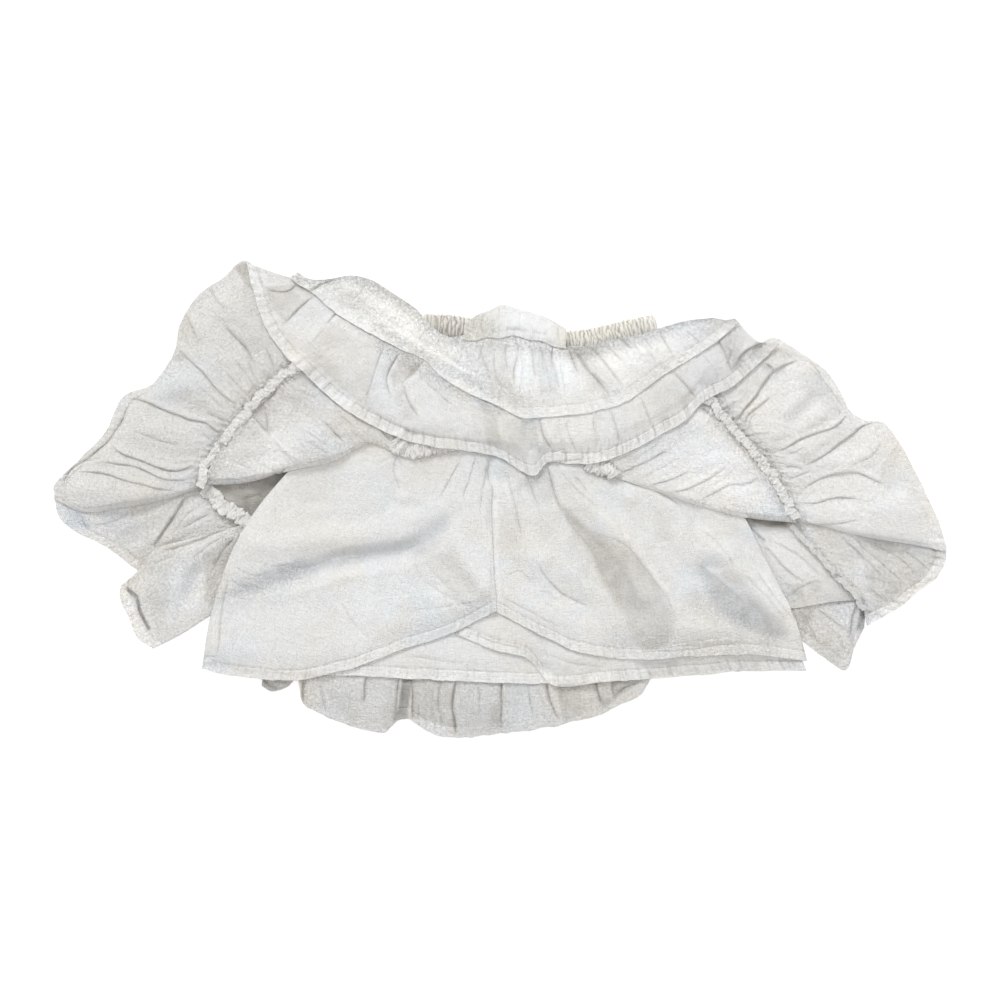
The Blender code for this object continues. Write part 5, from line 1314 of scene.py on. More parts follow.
shortsFrontLeft = {
    "finish": "rightSide", "held": "laid", "seed": 44, "hem": True, "folded": True, "covered": 0.36,
    "wall": 0.5, "crumple": (44, 1.1), "scatter": (46, 16, 0.55, 1.5), "hemStep": 1.2, "pucker": 0.6,
    "sections": (  # waist to hem, from the side to the centre seam
        (438, 346, 284, 476, 256, 510, 235, 545, 212, 610, 201, 669),
        (450, 346, 325, 480, 275, 560, 243, 640, 232, 676),
        (461, 346, 365, 480, 320, 560, 298, 640, 288, 681),
        (472, 346, 405, 480, 370, 560, 350, 625, 344, 671),
        (482, 346, 440, 480, 420, 560, 405, 610, 399, 651),
        (492, 346, 468, 480, 460, 560, 453, 600, 449, 634),
        (499, 346, 489, 470, 491, 500, 494, 560, 497, 611)),
    "creases": (
        ("valley", 3.4, 9, 236, 596, 270, 584, 310, 573, 352, 562, 400, 554, 430, 542, 448, 526),
        ("fold", 1.1, 1.8, 290, 572, 350, 558, 402, 551, 430, 540),
        ("fold", 1, 1.2, 232, 566, 246, 574, 264, 576), ("fold", 0.9, 1.2, 226, 578, 242, 586, 262, 588),
        ("fold", 0.8, 1.2, 250, 560, 270, 566, 292, 564), ("fold", 0.9, 1.2, 220, 590, 236, 598, 252, 600),
        ("fold", 0.7, 1.2, 270, 580, 296, 584, 320, 578), ("valley", -2, 11, 270, 552, 340, 540, 410, 524),
        ("valley", 1.8, 9, 416, 552, 424, 574, 446, 594),
        ("fold", 1, 1.5, 413, 552, 420, 575, 440, 592, 486, 612),
        ("valley", 1, 4, 222, 598, 246, 592, 274, 594),
        ("valley", 2.4, 6, 434, 546, 446, 562, 462, 582, 486, 602),
        ("valley", -1.8, 6, 444, 530, 458, 548, 472, 570, 488, 590),
        ("fold", 0.8, 1.3, 424, 560, 440, 580, 462, 598), ("fold", 1.6, 1.4, 476, 456, 470, 476, 462, 500),
        ("fold", 1.6, 1.4, 488, 462, 484, 484, 480, 512), ("fold", 1.3, 1.4, 462, 458, 450, 480, 440, 498),
        ("fold", 1, 1.3, 494, 480, 490, 500, 488, 530), ("valley", 1.6, 7, 392, 456, 398, 476, 396, 500),
        ("valley", 1.4, 6, 300, 506, 322, 503), ("valley", 1.8, 7, 380, 502, 404, 507, 426, 509),
        ("fold", 1, 1.4, 396, 452, 394, 470, 400, 490), ("fold", 1, 1.3, 405, 612, 440, 608, 486, 600),
        ("fold", 0.9, 1.3, 340, 600, 352, 622, 372, 640), ("fold", 1.7, 1, 229, 572, 222, 612, 217, 657),
        ("fold", 1.4, 1, 203, 656, 217, 657), ("ridge", 0.5, 1.2, 494, 474, 492, 520, 495, 590)),
    "patches": (
        (0.5, 16, 220, 590, 262, 584, 300, 572), (0.3, 12, 400, 606, 440, 606, 486, 598),
        (0.3, 16, 380, 640, 440, 620, 490, 606), (0.2, 12, 446, 530, 474, 580),
        (0.4, 12, 480, 460, 490, 470)),
    "paintedShadeLines": (
        (-0.5, 10, 240, 588, 300, 568, 352, 555, 415, 545), (-0.4, 7, 415, 545, 434, 530, 444, 520),
        (-0.22, 14, 214, 606, 240, 600, 280, 596), (0.25, 10, 438, 556, 452, 574, 470, 592),
        (-0.2, 16, 300, 486, 330, 480), (-0.3, 12, 410, 640, 450, 628, 490, 612)),
    "facets": (
        ("grey", 0.4, 4, 404, 546, 424, 538, 440, 524, 447, 520, 446, 536, 434, 552, 416, 558),
        ("light", 0.8, 8, 330, 586, 400, 576, 420, 590, 400, 610, 340, 612),
        ("warm", 0.25, 8, 432, 556, 452, 548, 474, 580, 486, 600, 456, 596),
        ("grey", 0.42, 6, 236, 584, 270, 568, 300, 558, 350, 548, 400, 541, 432, 526, 446, 518, 448, 528,
         436, 542, 404, 552, 350, 562, 300, 576, 262, 590, 238, 598),
        ("light", 0.7, 2, 488, 474, 500, 474, 500, 606, 493, 600)),
}
layCloth("shorts_front_left", shortsFrontLeft)


# the lifted front, wrong side up

frontFlounceLeft = {
    "finish": "wrongSide", "held": "gathered", "seed": 51, "hem": True, "folded": True, "crumple": (34, 1.1),
    "scatter": (60, 18, 0.9, 0.4), "hemStep": 0.9, "ruche": 3.2, "paintedLight": 0.2, "paintedWarmShade": 0.28,
    "gathers": ((4.8, 1.7, 15, 11, 4), (9, 1.4, 28, 71, 4)),
    "sections": (  # seam, middle, hem
        (322, 352, 292, 312, 264, 278), (303, 368, 272, 318, 243, 260), (290, 375, 254, 328, 222, 277),
        (275, 384, 236, 340, 196, 296), (263, 396, 223, 357, 179, 324), (252, 410, 212, 378, 172, 356),
        (243, 420, 200, 399, 150, 384), (234, 434, 184, 416, 122, 397), (223, 446, 166, 433, 105, 430),
        (214, 459, 150, 456, 80, 458), (207, 473, 136, 478, 55, 482),
        (200, 488, 160, 501, 120, 508, 82, 512, 54, 500)),
    "hemShown": (
        (243, 260, 0), (196, 296, 0), (178, 330, 0.3), (172, 356, 0), (150, 384, 0), (122, 397, 1),
        (55, 482, 1)),
    "creases": (
        ("fold", 3.2, 1.3, 121, 396, 125, 410, 118, 425, 108, 440, 95, 452, 85, 460, 70, 470, 62, 485, 61,
         499), ("fold", 3.2, 1.5, 222, 323, 235, 337, 248, 352, 257, 371),
        ("lap", 2, 1.4, 184, 310, 189, 322, 200, 346),
        ("lap", 2.4, 1.4, 176, 346, 190, 360, 205, 376, 215, 388, 238, 407),
        ("fold", 2.4, 1.3, 265, 347, 270, 358, 275, 371), ("fold", 1.8, 1.2, 248, 359, 252, 372, 259, 386),
        ("lap", 3, 1.5, 124, 397, 140, 400, 165, 410, 185, 418, 205, 423, 223, 436),
        ("fold", 1.6, 1.2, 205, 412, 228, 423),
        ("lap", 3.2, 1.6, 107, 441, 116, 450, 140, 460, 160, 468, 172, 471, 196, 464),
        ("lap", -1.4, 1.3, 84, 462, 100, 459, 118, 455),
        ("lap", 2.2, 1.4, 99, 462, 140, 468, 160, 478, 192, 480),
        ("lap", 2.2, 1.4, 69, 471, 105, 474, 130, 482, 177, 492),
        ("valley", 2.2, 8, 196, 306, 214, 330, 236, 362), ("valley", -1.8, 9, 214, 296, 236, 324, 256, 350),
        ("valley", 1.8, 7, 236, 284, 254, 312, 270, 340), ("valley", 1.8, 8, 160, 392, 190, 404, 216, 420),
        ("valley", -1.8, 9, 136, 424, 170, 436, 204, 448), ("fold", 1.3, 1.2, 196, 384, 212, 398, 226, 412),
        ("fold", 1.2, 1.2, 132, 430, 156, 440, 180, 446), ("fold", 1.6, 1.2, 226, 372, 236, 384, 248, 396),
        ("fold", 1.6, 1.2, 282, 350, 286, 360, 291, 369), ("fold", 1.6, 1.2, 236, 362, 246, 374, 256, 390),
        ("fold", 1.4, 1.2, 200, 434, 208, 438, 216, 444), ("lap", 1.6, 1.4, 208, 282, 214, 296, 226, 310)),
    "paintedShadeLines": ((0.25, 26, 222, 300, 238, 330, 246, 350),),
    "facets": (
        ("warm", 0.7, 1.5, 230, 264, 246, 262, 254, 292, 246, 286, 238, 272),
        ("warm", 0.16, 8, 196, 302, 238, 268, 258, 330, 262, 360, 232, 336),
        ("warm", 0.3, 1.5, 182, 310, 190, 322, 200, 346, 190, 346, 178, 340),
        ("warm", 0.6, 2, 180, 350, 188, 356, 182, 362, 170, 360),
        ("warm", 0.24, 4, 150, 396, 180, 372, 204, 378, 236, 406, 214, 420, 176, 408),
        ("warm", 0.3, 1.5, 106, 442, 118, 452, 92, 462, 78, 460),
        ("warm", 0.2, 6, 64, 490, 92, 478, 178, 496, 130, 508, 80, 510),
        ("cool", 0.25, 5, 168, 472, 198, 468, 200, 484, 172, 488),
        ("cool", 0.3, 5, 110, 506, 180, 492, 198, 484, 168, 504, 120, 512)),
}
layCloth("front_flounce_left", frontFlounceLeft)

frontFlounceRight = {
    "finish": "wrongSide", "held": "gathered", "seed": 52, "hem": True, "folded": True, "crumple": (34, 1.1),
    "scatter": (60, 18, 0.9, 0.4), "hemStep": 0.9, "ruche": 2.6, "paintedLight": 1.2,
    "gathers": ((4.8, 1.7, 15, 12, 4), (9, 1.4, 28, 72, 4)),
    "sections": (  # seam, middle, hem
        (690, 388, 725, 366, 757, 346), (705, 398, 742, 370, 777, 337), (713, 404, 757, 377, 803, 353),
        (722, 413, 771, 388, 827, 370), (731, 425, 786, 403, 840, 388), (738, 432, 796, 418, 852, 411),
        (745, 439, 805, 430, 867, 420), (752, 446, 816, 443, 886, 423), (758, 453, 826, 457, 902, 445),
        (765, 463, 834, 472, 914, 467), (772, 473, 841, 488, 924, 487), (779, 486, 848, 503, 934, 508),
        (787, 502, 853, 519, 943, 530), (792, 513, 856, 529, 946, 543),
        (797, 522, 835, 530, 870, 538, 920, 546, 947, 552)),
    "hemShown": (
        (757, 346, 0), (777, 337, 0.2), (803, 353, 0.3), (827, 370, 0.8), (852, 411, 0.6), (867, 420, 0),
        (902, 445, 0), (924, 487, 0.3), (946, 543, 0.6)),
    "creases": (
        ("lap", 3.4, 1.5, 803, 360, 784, 365, 771, 374, 757, 394, 745, 409, 733, 425),
        ("fold", 2.6, 1.3, 803, 360, 814, 364, 824, 381, 841, 402, 851, 413),
        ("lap", 2.4, 1.4, 775, 395, 760, 405, 748, 415, 743, 430),
        ("lap", 3, 1.5, 851, 413, 835, 427, 820, 432, 800, 440, 787, 448, 774, 452),
        ("lap", 2.8, 1.5, 878, 422, 865, 425, 850, 436, 835, 448, 820, 458, 803, 467),
        ("fold", 1.5, 1.2, 784, 468, 795, 467, 804, 470),
        ("lap", 2.2, 1.4, 799, 492, 815, 482, 825, 477, 840, 473, 855, 472, 870, 478, 891, 488),
        ("lap", 2.2, 1.4, 799, 503, 815, 503, 835, 498, 866, 499),
        ("lap", -1.6, 1.3, 849, 504, 870, 501, 885, 493, 896, 487),
        ("fold", 1.5, 1.2, 804, 523, 835, 524, 861, 520), ("valley", 1.8, 9, 892, 448, 896, 475, 899, 503),
        ("valley", -2.2, 9, 812, 378, 800, 396, 780, 420), ("valley", 2.2, 8, 826, 392, 808, 408, 786, 430),
        ("valley", -2, 8, 846, 424, 818, 442, 794, 456), ("valley", 2, 8, 866, 440, 838, 460, 812, 476),
        ("fold", 1.6, 1.2, 757, 412, 751, 420, 748, 432), ("fold", 1.4, 1.2, 786, 454, 796, 452, 806, 446),
        ("fold", 1.4, 1.2, 788, 480, 800, 476, 812, 470), ("fold", 1.2, 1.2, 884, 440, 872, 456, 850, 466),
        ("lap", 2.2, 1.4, 764, 362, 774, 370, 770, 376), ("valley", 1.8, 7, 770, 356, 784, 356, 796, 358)),
    "facets": (
        ("warm", 0.36, 3, 750, 356, 777, 344, 802, 356, 784, 364, 768, 374),
        ("grey", 0.4, 5, 792, 372, 810, 368, 828, 386, 846, 410, 836, 418, 814, 398, 800, 386),
        ("warm", 0.16, 3, 852, 418, 872, 424, 838, 447, 806, 465, 788, 452, 820, 434),
        ("grey", 0.12, 8, 872, 432, 902, 450, 896, 500, 870, 470),
        ("cool", 0.2, 5, 840, 528, 946, 540, 946, 550, 880, 538),
        ("warm", 0.14, 4, 742, 392, 760, 376, 770, 376, 740, 408)),
}
layCloth("front_flounce_right", frontFlounceRight)

frontTierLeft = {
    "finish": "wrongSide", "held": "laid", "seed": 53, "folded": True, "crumple": (31, 1.1),
    "scatter": (90, 14, 0.9, 1.2), "ruche": 0.8, "rough": 0.3, "paintedLight": 1.4,
    "gathers": ((8, 0.9, 16, 13, 5),),
    "sections": (  # gathered seam, middle, under the second ruffle
        (305, 362, 338, 366, 376, 378), (290, 374, 330, 384, 390, 396), (264, 395, 322, 404, 398, 414),
        (245, 420, 312, 418, 402, 424), (224, 446, 302, 434, 402, 432),
        (211, 466, 292, 452, 350, 438, 401, 441),
        (202, 485, 245, 483, 290, 471, 335, 461, 372, 444, 400, 457)),
    "creases": (
        ("fold", 1, 0.9, 302, 370, 284, 383, 266, 401, 249, 417, 230, 441, 215, 462, 208, 484),
        ("lap", 2, 1.4, 262, 399, 266, 416, 268, 434), ("lap", 2, 1.4, 250, 415, 259, 424, 269, 434),
        ("ridge", 2.2, 1.8, 268, 433, 285, 450, 305, 464), ("fold", 2.6, 1.5, 321, 419, 334, 432, 349, 447),
        ("fold", 1.2, 1.2, 300, 428, 316, 438, 334, 452), ("fold", 1, 1.2, 304, 440, 318, 448, 330, 455),
        ("fold", 1.2, 1.2, 336, 412, 352, 426, 366, 442), ("fold", 1, 1.2, 226, 458, 244, 466, 262, 476),
        ("fold", 1, 1.2, 242, 452, 262, 466, 280, 474), ("valley", 1.6, 7, 276, 398, 296, 408, 316, 416),
        ("fold", 1, 1.2, 284, 382, 300, 392, 318, 398), ("fold", 1, 1.2, 290, 430, 300, 444, 312, 456),
        ("lap", -1.4, 1.3, 350, 430, 362, 440, 372, 446), ("lap", -1.6, 1.4, 376, 420, 384, 434, 398, 446),
        ("valley", -1.6, 8, 230, 452, 262, 446, 300, 452)),
    "paintedShadeLines": ((0.45, 20, 268, 402, 300, 404, 330, 410),),
    "facets": (
        ("warm", 0.36, 1.5, 250, 414, 262, 400, 268, 416, 269, 435),
        ("warm", 0.22, 3, 262, 400, 280, 412, 284, 424, 269, 435),
        ("warm", 0.2, 3, 232, 440, 248, 420, 268, 440, 262, 460, 236, 462),
        ("warm", 0.3, 6, 272, 398, 306, 388, 316, 400, 290, 410),
        ("cool", 0.25, 8, 300, 430, 366, 440, 330, 462, 290, 466),
        ("cool", 0.3, 4, 208, 476, 250, 470, 250, 484, 206, 486)),
}
layCloth("front_tier_left", frontTierLeft)

frontTierRight = {
    "finish": "wrongSide", "held": "laid", "seed": 54, "folded": True, "crumple": (31, 1.1),
    "scatter": (40, 16, 0.8, 0.9), "ruche": 0.8, "paintedLight": 2.2,
    "gathers": ((8, 0.9, 16, 14, 5),),
    "sections": (  # gathered seam, middle, under the second ruffle
        (700, 396, 660, 402, 604, 416), (717, 409, 668, 421, 602, 432), (731, 426, 675, 440, 603, 445),
        (746, 441, 683, 456, 604, 455), (760, 458, 690, 470, 606, 463), (774, 479, 700, 484, 608, 468),
        (787, 503, 740, 503, 690, 494, 610, 472), (797, 523, 742, 517, 700, 506, 650, 489, 612, 477)),
    "creases": (
        ("fold", 3, 1.4, 702, 406, 708, 413, 716, 419),
        ("fold", 1, 0.9, 716, 422, 731, 436, 744, 450, 756, 466, 768, 486, 784, 517),
        ("lap", 1.3, 1.3, 619, 474, 650, 460, 674, 447), ("lap", 1, 1.2, 647, 486, 670, 480, 691, 469),
        ("lap", 1.2, 1.3, 667, 493, 690, 488, 710, 478, 730, 464),
        ("lap", 1.2, 1.2, 699, 501, 715, 492, 730, 485, 745, 484, 767, 472),
        ("lap", -1.2, 1.2, 754, 502, 786, 506), ("fold", 1, 1.1, 628, 464, 650, 450, 664, 440),
        ("valley", 1.2, 7, 660, 474, 684, 462, 706, 452), ("valley", 1.6, 8, 700, 424, 712, 440, 718, 458),
        ("fold", 0.8, 1.1, 640, 478, 662, 468, 684, 456), ("valley", -1.6, 9, 730, 440, 740, 456, 748, 474),
        ("fold", 0.8, 1.1, 742, 462, 728, 476, 706, 488), ("fold", 0.8, 1.1, 676, 428, 686, 444, 690, 458),
        ("fold", 0.8, 1.1, 726, 502, 750, 494, 772, 494)),
    "patches": ((0.4, 14, 620, 470, 660, 450, 690, 430), (0.4, 10, 700, 505, 770, 515)),
    "paintedShadeLines": (
        (-0.22, 18, 640, 456, 690, 440), (-0.2, 14, 740, 470, 766, 490), (0.25, 12, 712, 424, 724, 440)),
}
layCloth("front_tier_right", frontTierRight)

frontSeams = {
    "front_seam_left": {
        "path": (308, 358, 296, 368, 281, 377, 267, 389, 257, 399, 247, 411, 238, 421, 229, 434, 218, 446,
                 209, 460, 203, 474, 199, 487),
        "width": 9, "height": 1.5, "pitch": 2.6, "depth": 0.8, "wander": 2.2, "lumps": 8, "lumpScale": 430,
        "jitter": 1.8, "seed": 5, "finish": "litSeamEdge"},
    "front_seam_right": {
        "path": (699, 392, 710, 402, 722, 416, 735, 430, 748, 444, 759, 457, 769, 471, 779, 486, 787, 503,
                 796, 519),
        "width": 9, "height": 1.6, "pitch": 2.6, "depth": 0.8, "wander": 2.2, "lumps": 8.5, "lumpScale": 430,
        "jitter": 1.8, "seed": 6, "finish": "litSeamEdge"},
    "front_seam_centre_left": {
        "path": (394, 440, 404, 447, 424, 447, 440, 445, 454, 440),
        "width": 19, "height": 5, "pitch": 4.2, "depth": 2, "wander": 1.4, "lumps": 9, "jitter": 1.5,
        "seed": 7, "finish": "litSeamEdge"},
    "front_seam_centre_right": {
        "path": (587, 462, 597, 466, 606, 470, 614, 477),
        "width": 14, "height": 6, "pitch": 4.2, "depth": 2, "wander": 1.4, "lumps": 11, "jitter": 1.5,
        "seed": 8, "finish": "litSeamEdge"},
}
for nodeName, ridge in frontSeams.items():
    layRidge(nodeName, ridge)

frontGatheredFolds = {
    "finish": "wrongSide", "held": "folded", "seed": 55, "crumple": (27, 1.9),
    "gathers": ((14, 1.6, 60, 15),),
    "sections": (  # towards the waist, towards the hem
        (350, 366, 356, 392), (375, 362, 380, 412), (420, 366, 422, 430), (480, 376, 480, 438),
        (545, 378, 545, 442), (600, 372, 592, 438), (650, 360, 640, 420), (690, 354, 680, 396),
        (706, 350, 700, 376)),
}
layCloth("front_gathered_folds", frontGatheredFolds)


# the ruffles and the waist

tierTwo = {
    "finish": "rightSide", "held": "gathered", "seed": 61, "hem": True, "puff": 1, "crumple": (31, 1.1),
    "scatter": (70, 18, 0.8, 0.5), "hemStep": 1.3, "pucker": 0.5, "cuts": 1.3, "paintedCreaseShade": 0.8,
    "gathers": ((17, 0.8, 60, 16),),
    "sections": (  # under the first ruffle, middle, hem
        (316, 283, 282, 275, 246, 262), (328, 290, 288, 291, 253, 290), (342, 298, 300, 311, 264, 325),
        (355, 306, 318, 333, 285, 355), (368, 313, 338, 347, 303, 373), (381, 321, 353, 362, 322, 391),
        (393, 330, 369, 381, 348, 411), (403, 337, 391, 391, 378, 429), (416, 344, 411, 400, 402, 439),
        (434, 356, 436, 410, 434, 447), (457, 370, 462, 416, 466, 451), (481, 380, 490, 425, 500, 458),
        (505, 387, 512, 435, 518, 469), (525, 389, 530, 437, 535, 476), (541, 389, 545, 435, 547, 463),
        (562, 388, 567, 431, 569, 464), (589, 384, 594, 428, 594, 464), (615, 378, 624, 422, 626, 453),
        (637, 367, 649, 407, 655, 438), (658, 351, 673, 389, 683, 422), (680, 338, 696, 371, 704, 402),
        (697, 328, 719, 358, 735, 385), (716, 322, 742, 345, 760, 363), (735, 318, 759, 341, 778, 345)),
    "creases": (
        ("tuck", 1.7, 1.4, 313, 296, 298, 309, 283, 325), ("lap", 1.8, 1.4, 266, 290, 290, 290, 298, 282),
        ("fold", 2.6, 1.4, 337, 311, 332, 318, 327, 325), ("fold", 1, 1.2, 327, 325, 318, 336, 309, 346),
        ("tuck", -3.2, 1.8, 386, 341, 378, 365, 370, 390, 364, 410),
        ("fold", 3, 1.5, 404, 349, 393, 363, 387, 378, 392, 401),
        ("valley", 3, 4.5, 422, 364, 414, 372, 404, 381), ("fold", 1.4, 1.2, 422, 379, 440, 395, 456, 408),
        ("fold", 2, 1.3, 402, 380, 408, 400, 421, 421), ("valley", 3.2, 5, 526, 417, 530, 436, 534, 458),
        ("fold", 2.4, 1.4, 538, 417, 545, 440, 553, 450), ("lap", -1.6, 1.3, 545, 456, 556, 452, 566, 449),
        ("ridge", 2.8, 1.5, 592, 412, 594, 430, 597, 446), ("fold", 2, 1.4, 610, 409, 617, 430, 620, 447),
        ("fold", 2.2, 1.5, 671, 371, 685, 385, 697, 399), ("tuck", -3, 1.5, 717, 336, 725, 354, 733, 373),
        ("tuck", -3.4, 1.5, 733, 372, 740, 356, 764, 342, 776, 337),
        ("fold", 1.8, 1.4, 722, 346, 730, 350, 728, 364), ("valley", 2.6, 5, 752, 350, 768, 347),
        ("fold", 1.4, 1.3, 566, 420, 570, 438, 578, 456), ("valley", 2, 9, 445, 384, 456, 410, 462, 438),
        ("valley", 1.8, 8, 482, 402, 484, 424, 490, 444), ("valley", -1.8, 8, 506, 412, 512, 430, 516, 452),
        ("fold", 1.2, 1.3, 640, 396, 646, 412, 652, 430), ("lap", 1.4, 1.3, 545, 462, 562, 461, 585, 458),
        ("valley", 1.6, 10, 330, 330, 338, 360, 346, 386), ("ridge", 1.4, 1.6, 556, 416, 560, 436, 562, 456),
        ("fold", 1, 1.3, 700, 352, 712, 366, 720, 384), ("fold", 1.2, 1.3, 480, 398, 500, 410, 508, 416)),
    "patches": ((0.9, 9, 380, 345, 404, 356, 440, 380, 500, 408), (0.6, 10, 724, 336, 738, 360)),
    "facets": (
        ("light", 1.3, 2.2, 297, 286, 322, 306, 354, 329, 376, 341, 400, 353, 424, 365, 439, 380, 456, 392,
         478, 402, 476, 407, 452, 397, 435, 385, 419, 370, 396, 358, 372, 347, 350, 335, 318, 312, 293, 291),
        ("warm", 0.4, 1.5, 264, 286, 300, 284, 316, 295, 283, 323, 270, 304),
        ("cool", 0.2, 1.5, 283, 325, 314, 296, 337, 313, 327, 326, 300, 347),
        ("light", 0.6, 1.5, 283, 325, 314, 296, 337, 313, 327, 326, 300, 347),
        ("warm", 0.26, 1.5, 328, 325, 342, 314, 382, 333, 382, 346, 372, 370, 363, 404, 340, 388, 303, 352),
        ("light", 0.7, 1.5, 386, 338, 404, 350, 389, 374, 393, 404, 376, 428, 365, 412, 374, 372),
        ("cool", 0.2, 1.5, 384, 336, 404, 350, 389, 374, 393, 404, 376, 428, 365, 412, 374, 372),
        ("warm", 0.34, 1.5, 405, 349, 424, 358, 404, 381, 394, 388, 391, 372),
        ("warm", 0.75, 1.2, 424, 361, 416, 372, 403, 383, 411, 369),
        ("warm", 0.22, 4, 393, 388, 408, 392, 418, 420, 402, 420),
        ("warm", 0.34, 3, 482, 404, 496, 414, 502, 446, 486, 444),
        ("grey", 0.5, 3, 529, 416, 537, 416, 540, 452, 533, 458, 528, 440),
        ("grey", 0.3, 5, 502, 420, 528, 420, 528, 458, 510, 452),
        ("light", 0.5, 8, 424, 382, 478, 406, 482, 440, 432, 430),
        ("light", 0.8, 2, 543, 420, 590, 414, 592, 446, 552, 448),
        ("cool", 0.14, 8, 424, 382, 478, 406, 482, 440, 432, 430),
        ("grey", 0.42, 2, 717, 339, 730, 331, 746, 337, 742, 353, 732, 371, 725, 354),
        ("grey", 1, 5, 746, 353, 757, 344, 774, 348, 765, 358, 752, 360),
        ("grey", 0.25, 5, 742, 356, 764, 358, 744, 374, 736, 372),
        ("cool", 0.08, 6, 696, 352, 718, 346, 730, 374, 704, 394, 692, 380),
        ("warm", 0.16, 4, 676, 378, 694, 398, 660, 412, 648, 396)),
}
layCloth("tier_2", tierTwo)

tierOne = {
    "finish": "crinkled", "held": "gathered", "seed": 62, "hem": True, "wall": 0.35, "puff": 1,
    "crumple": (15, 0.9), "scatter": (80, 14, 0.8, 0.5), "pucker": 0.4, "paintedCreaseShade": 1,
    "gathers": ((5, 0.8, 20, 17), (11, 0.8, 40, 27)),
    "sections": (  # waist side, middle, hem
        (297, 272, 293, 275, 289, 277), (311, 279, 306, 283, 301, 286), (327, 279, 320, 285, 313, 293),
        (350, 275, 337, 292, 325, 304), (372, 280, 357, 301, 340, 316), (393, 293, 375, 313, 357, 327),
        (415, 308, 397, 326, 378, 338), (434, 328, 419, 343, 402, 350), (450, 337, 438, 352, 425, 361),
        (464, 335, 453, 357, 440, 376), (474, 334, 466, 363, 456, 387), (484, 334, 481, 368, 478, 398),
        (496, 334, 497, 374, 499, 407), (512, 335, 515, 380, 520, 418), (531, 337, 536, 380, 542, 417),
        (551, 341, 558, 380, 566, 416), (569, 347, 582, 382, 593, 412), (587, 346, 606, 378, 619, 406),
        (606, 341, 627, 369, 642, 392), (626, 337, 647, 359, 663, 376), (646, 333, 668, 350, 685, 363),
        (664, 327, 689, 340, 707, 348), (686, 321, 708, 330, 723, 336), (713, 318, 725, 320, 739, 323)),
    "hemShown": (
        (289, 277, 1), (305, 288, 0.7), (325, 304, 0.15), (378, 338, 0.05), (425, 361, 0), (478, 398, 0.1),
        (520, 418, 0.5), (593, 412, 0.5), (663, 376, 0.6), (739, 323, 0.6)),
    "creases": (
        ("valley", -1.2, 9, 392, 299, 433, 334, 470, 365, 516, 400),
        ("fold", 2, 1.5, 515, 337, 518, 346, 514, 372, 515, 390),
        ("fold", 1.8, 1.4, 530, 341, 533, 362, 536, 381),
        ("fold", 2.4, 1.4, 554, 341, 552, 360, 555, 375, 560, 393),
        ("fold", 1.8, 1.3, 567, 346, 572, 360, 580, 376),
        ("lap", -2.8, 1.5, 569, 346, 573, 352, 585, 367, 600, 385, 613, 399),
        ("fold", 2.4, 1.4, 590, 347, 598, 355, 610, 370, 623, 388),
        ("fold", 2.4, 1.4, 620, 337, 625, 343, 631, 349), ("fold", 2, 1.4, 660, 334, 666, 345, 673, 357),
        ("fold", 1.3, 1.3, 640, 342, 650, 354, 658, 368), ("valley", 2, 7, 452, 342, 470, 356, 492, 374),
        ("fold", 1.2, 1.3, 496, 346, 494, 366, 500, 388), ("fold", 1, 1.3, 545, 356, 548, 376, 552, 396),
        ("ridge", 1.4, 1.3, 519, 342, 521, 366, 519, 394), ("ridge", 1.4, 1.3, 558, 346, 560, 370, 565, 396),
        ("ridge", 1.2, 1.3, 576, 350, 592, 370, 618, 396), ("fold", 1.4, 1.2, 506, 342, 505, 356, 508, 372),
        ("fold", 1.4, 1.2, 540, 344, 543, 358, 542, 372), ("fold", 1.3, 1.2, 480, 346, 484, 362, 492, 378),
        ("fold", 1.2, 1.2, 466, 346, 468, 356, 474, 366), ("fold", 1.2, 1.2, 606, 344, 616, 356, 624, 364),
        ("fold", 1.2, 1.2, 642, 336, 650, 346, 654, 354), ("fold", 1.2, 1.3, 684, 330, 694, 338, 702, 346),
        ("lap", 2, 1.4, 308, 292, 322, 283, 335, 279), ("fold", 1.2, 1.3, 352, 300, 362, 290, 364, 282),
        ("valley", 1.2, 5, 376, 326, 400, 342, 440, 366, 496, 396)),
    "patches": (
        (0.45, 13, 392, 299, 433, 334, 470, 365, 516, 400), (0.35, 18, 312, 284, 350, 296, 390, 322),
        (0.6, 7, 376, 326, 400, 342, 440, 366, 500, 398), (0.4, 10, 660, 332, 700, 330, 736, 322),
        (0.3, 8, 610, 400, 650, 378, 700, 345)),
    "facets": (
        ("light", 1, 9, 300, 280, 345, 277, 392, 294, 436, 328, 476, 362, 506, 398, 478, 396, 430, 364, 380,
         338, 330, 304), ("warm", 0.24, 8, 330, 284, 376, 290, 372, 316, 340, 306),
        ("warm", 0.3, 9, 452, 340, 500, 340, 510, 384, 484, 376),
        ("cool", 0.1, 6, 515, 342, 552, 342, 560, 398, 520, 402),
        ("grey", 0.9, 1.3, 732, 330, 739, 321, 743, 331),
        ("warm", 0.3, 7, 560, 344, 600, 338, 606, 352, 580, 362, 566, 358),
        ("light", 2.2, 2, 460, 337, 500, 335, 530, 338, 556, 345, 568, 349, 568, 355, 552, 351, 528, 345,
         500, 343, 460, 346), ("light", 0.6, 3, 517, 342, 528, 342, 530, 366, 526, 396, 518, 396),
        ("light", 0.6, 3, 556, 350, 566, 352, 572, 374, 572, 400, 562, 396, 558, 376),
        ("grey", 0.35, 2, 533, 344, 551, 346, 552, 372, 556, 392, 540, 394, 537, 370),
        ("grey", 0.3, 3, 498, 346, 513, 344, 512, 372, 513, 392, 500, 384),
        ("light", 0.6, 3, 600, 350, 612, 350, 640, 384, 630, 394, 612, 376),
        ("grey", 0.25, 3, 576, 352, 592, 352, 620, 392, 606, 400, 590, 384),
        ("warm", 0.18, 3, 570, 350, 586, 350, 604, 382, 592, 394, 580, 372)),
}
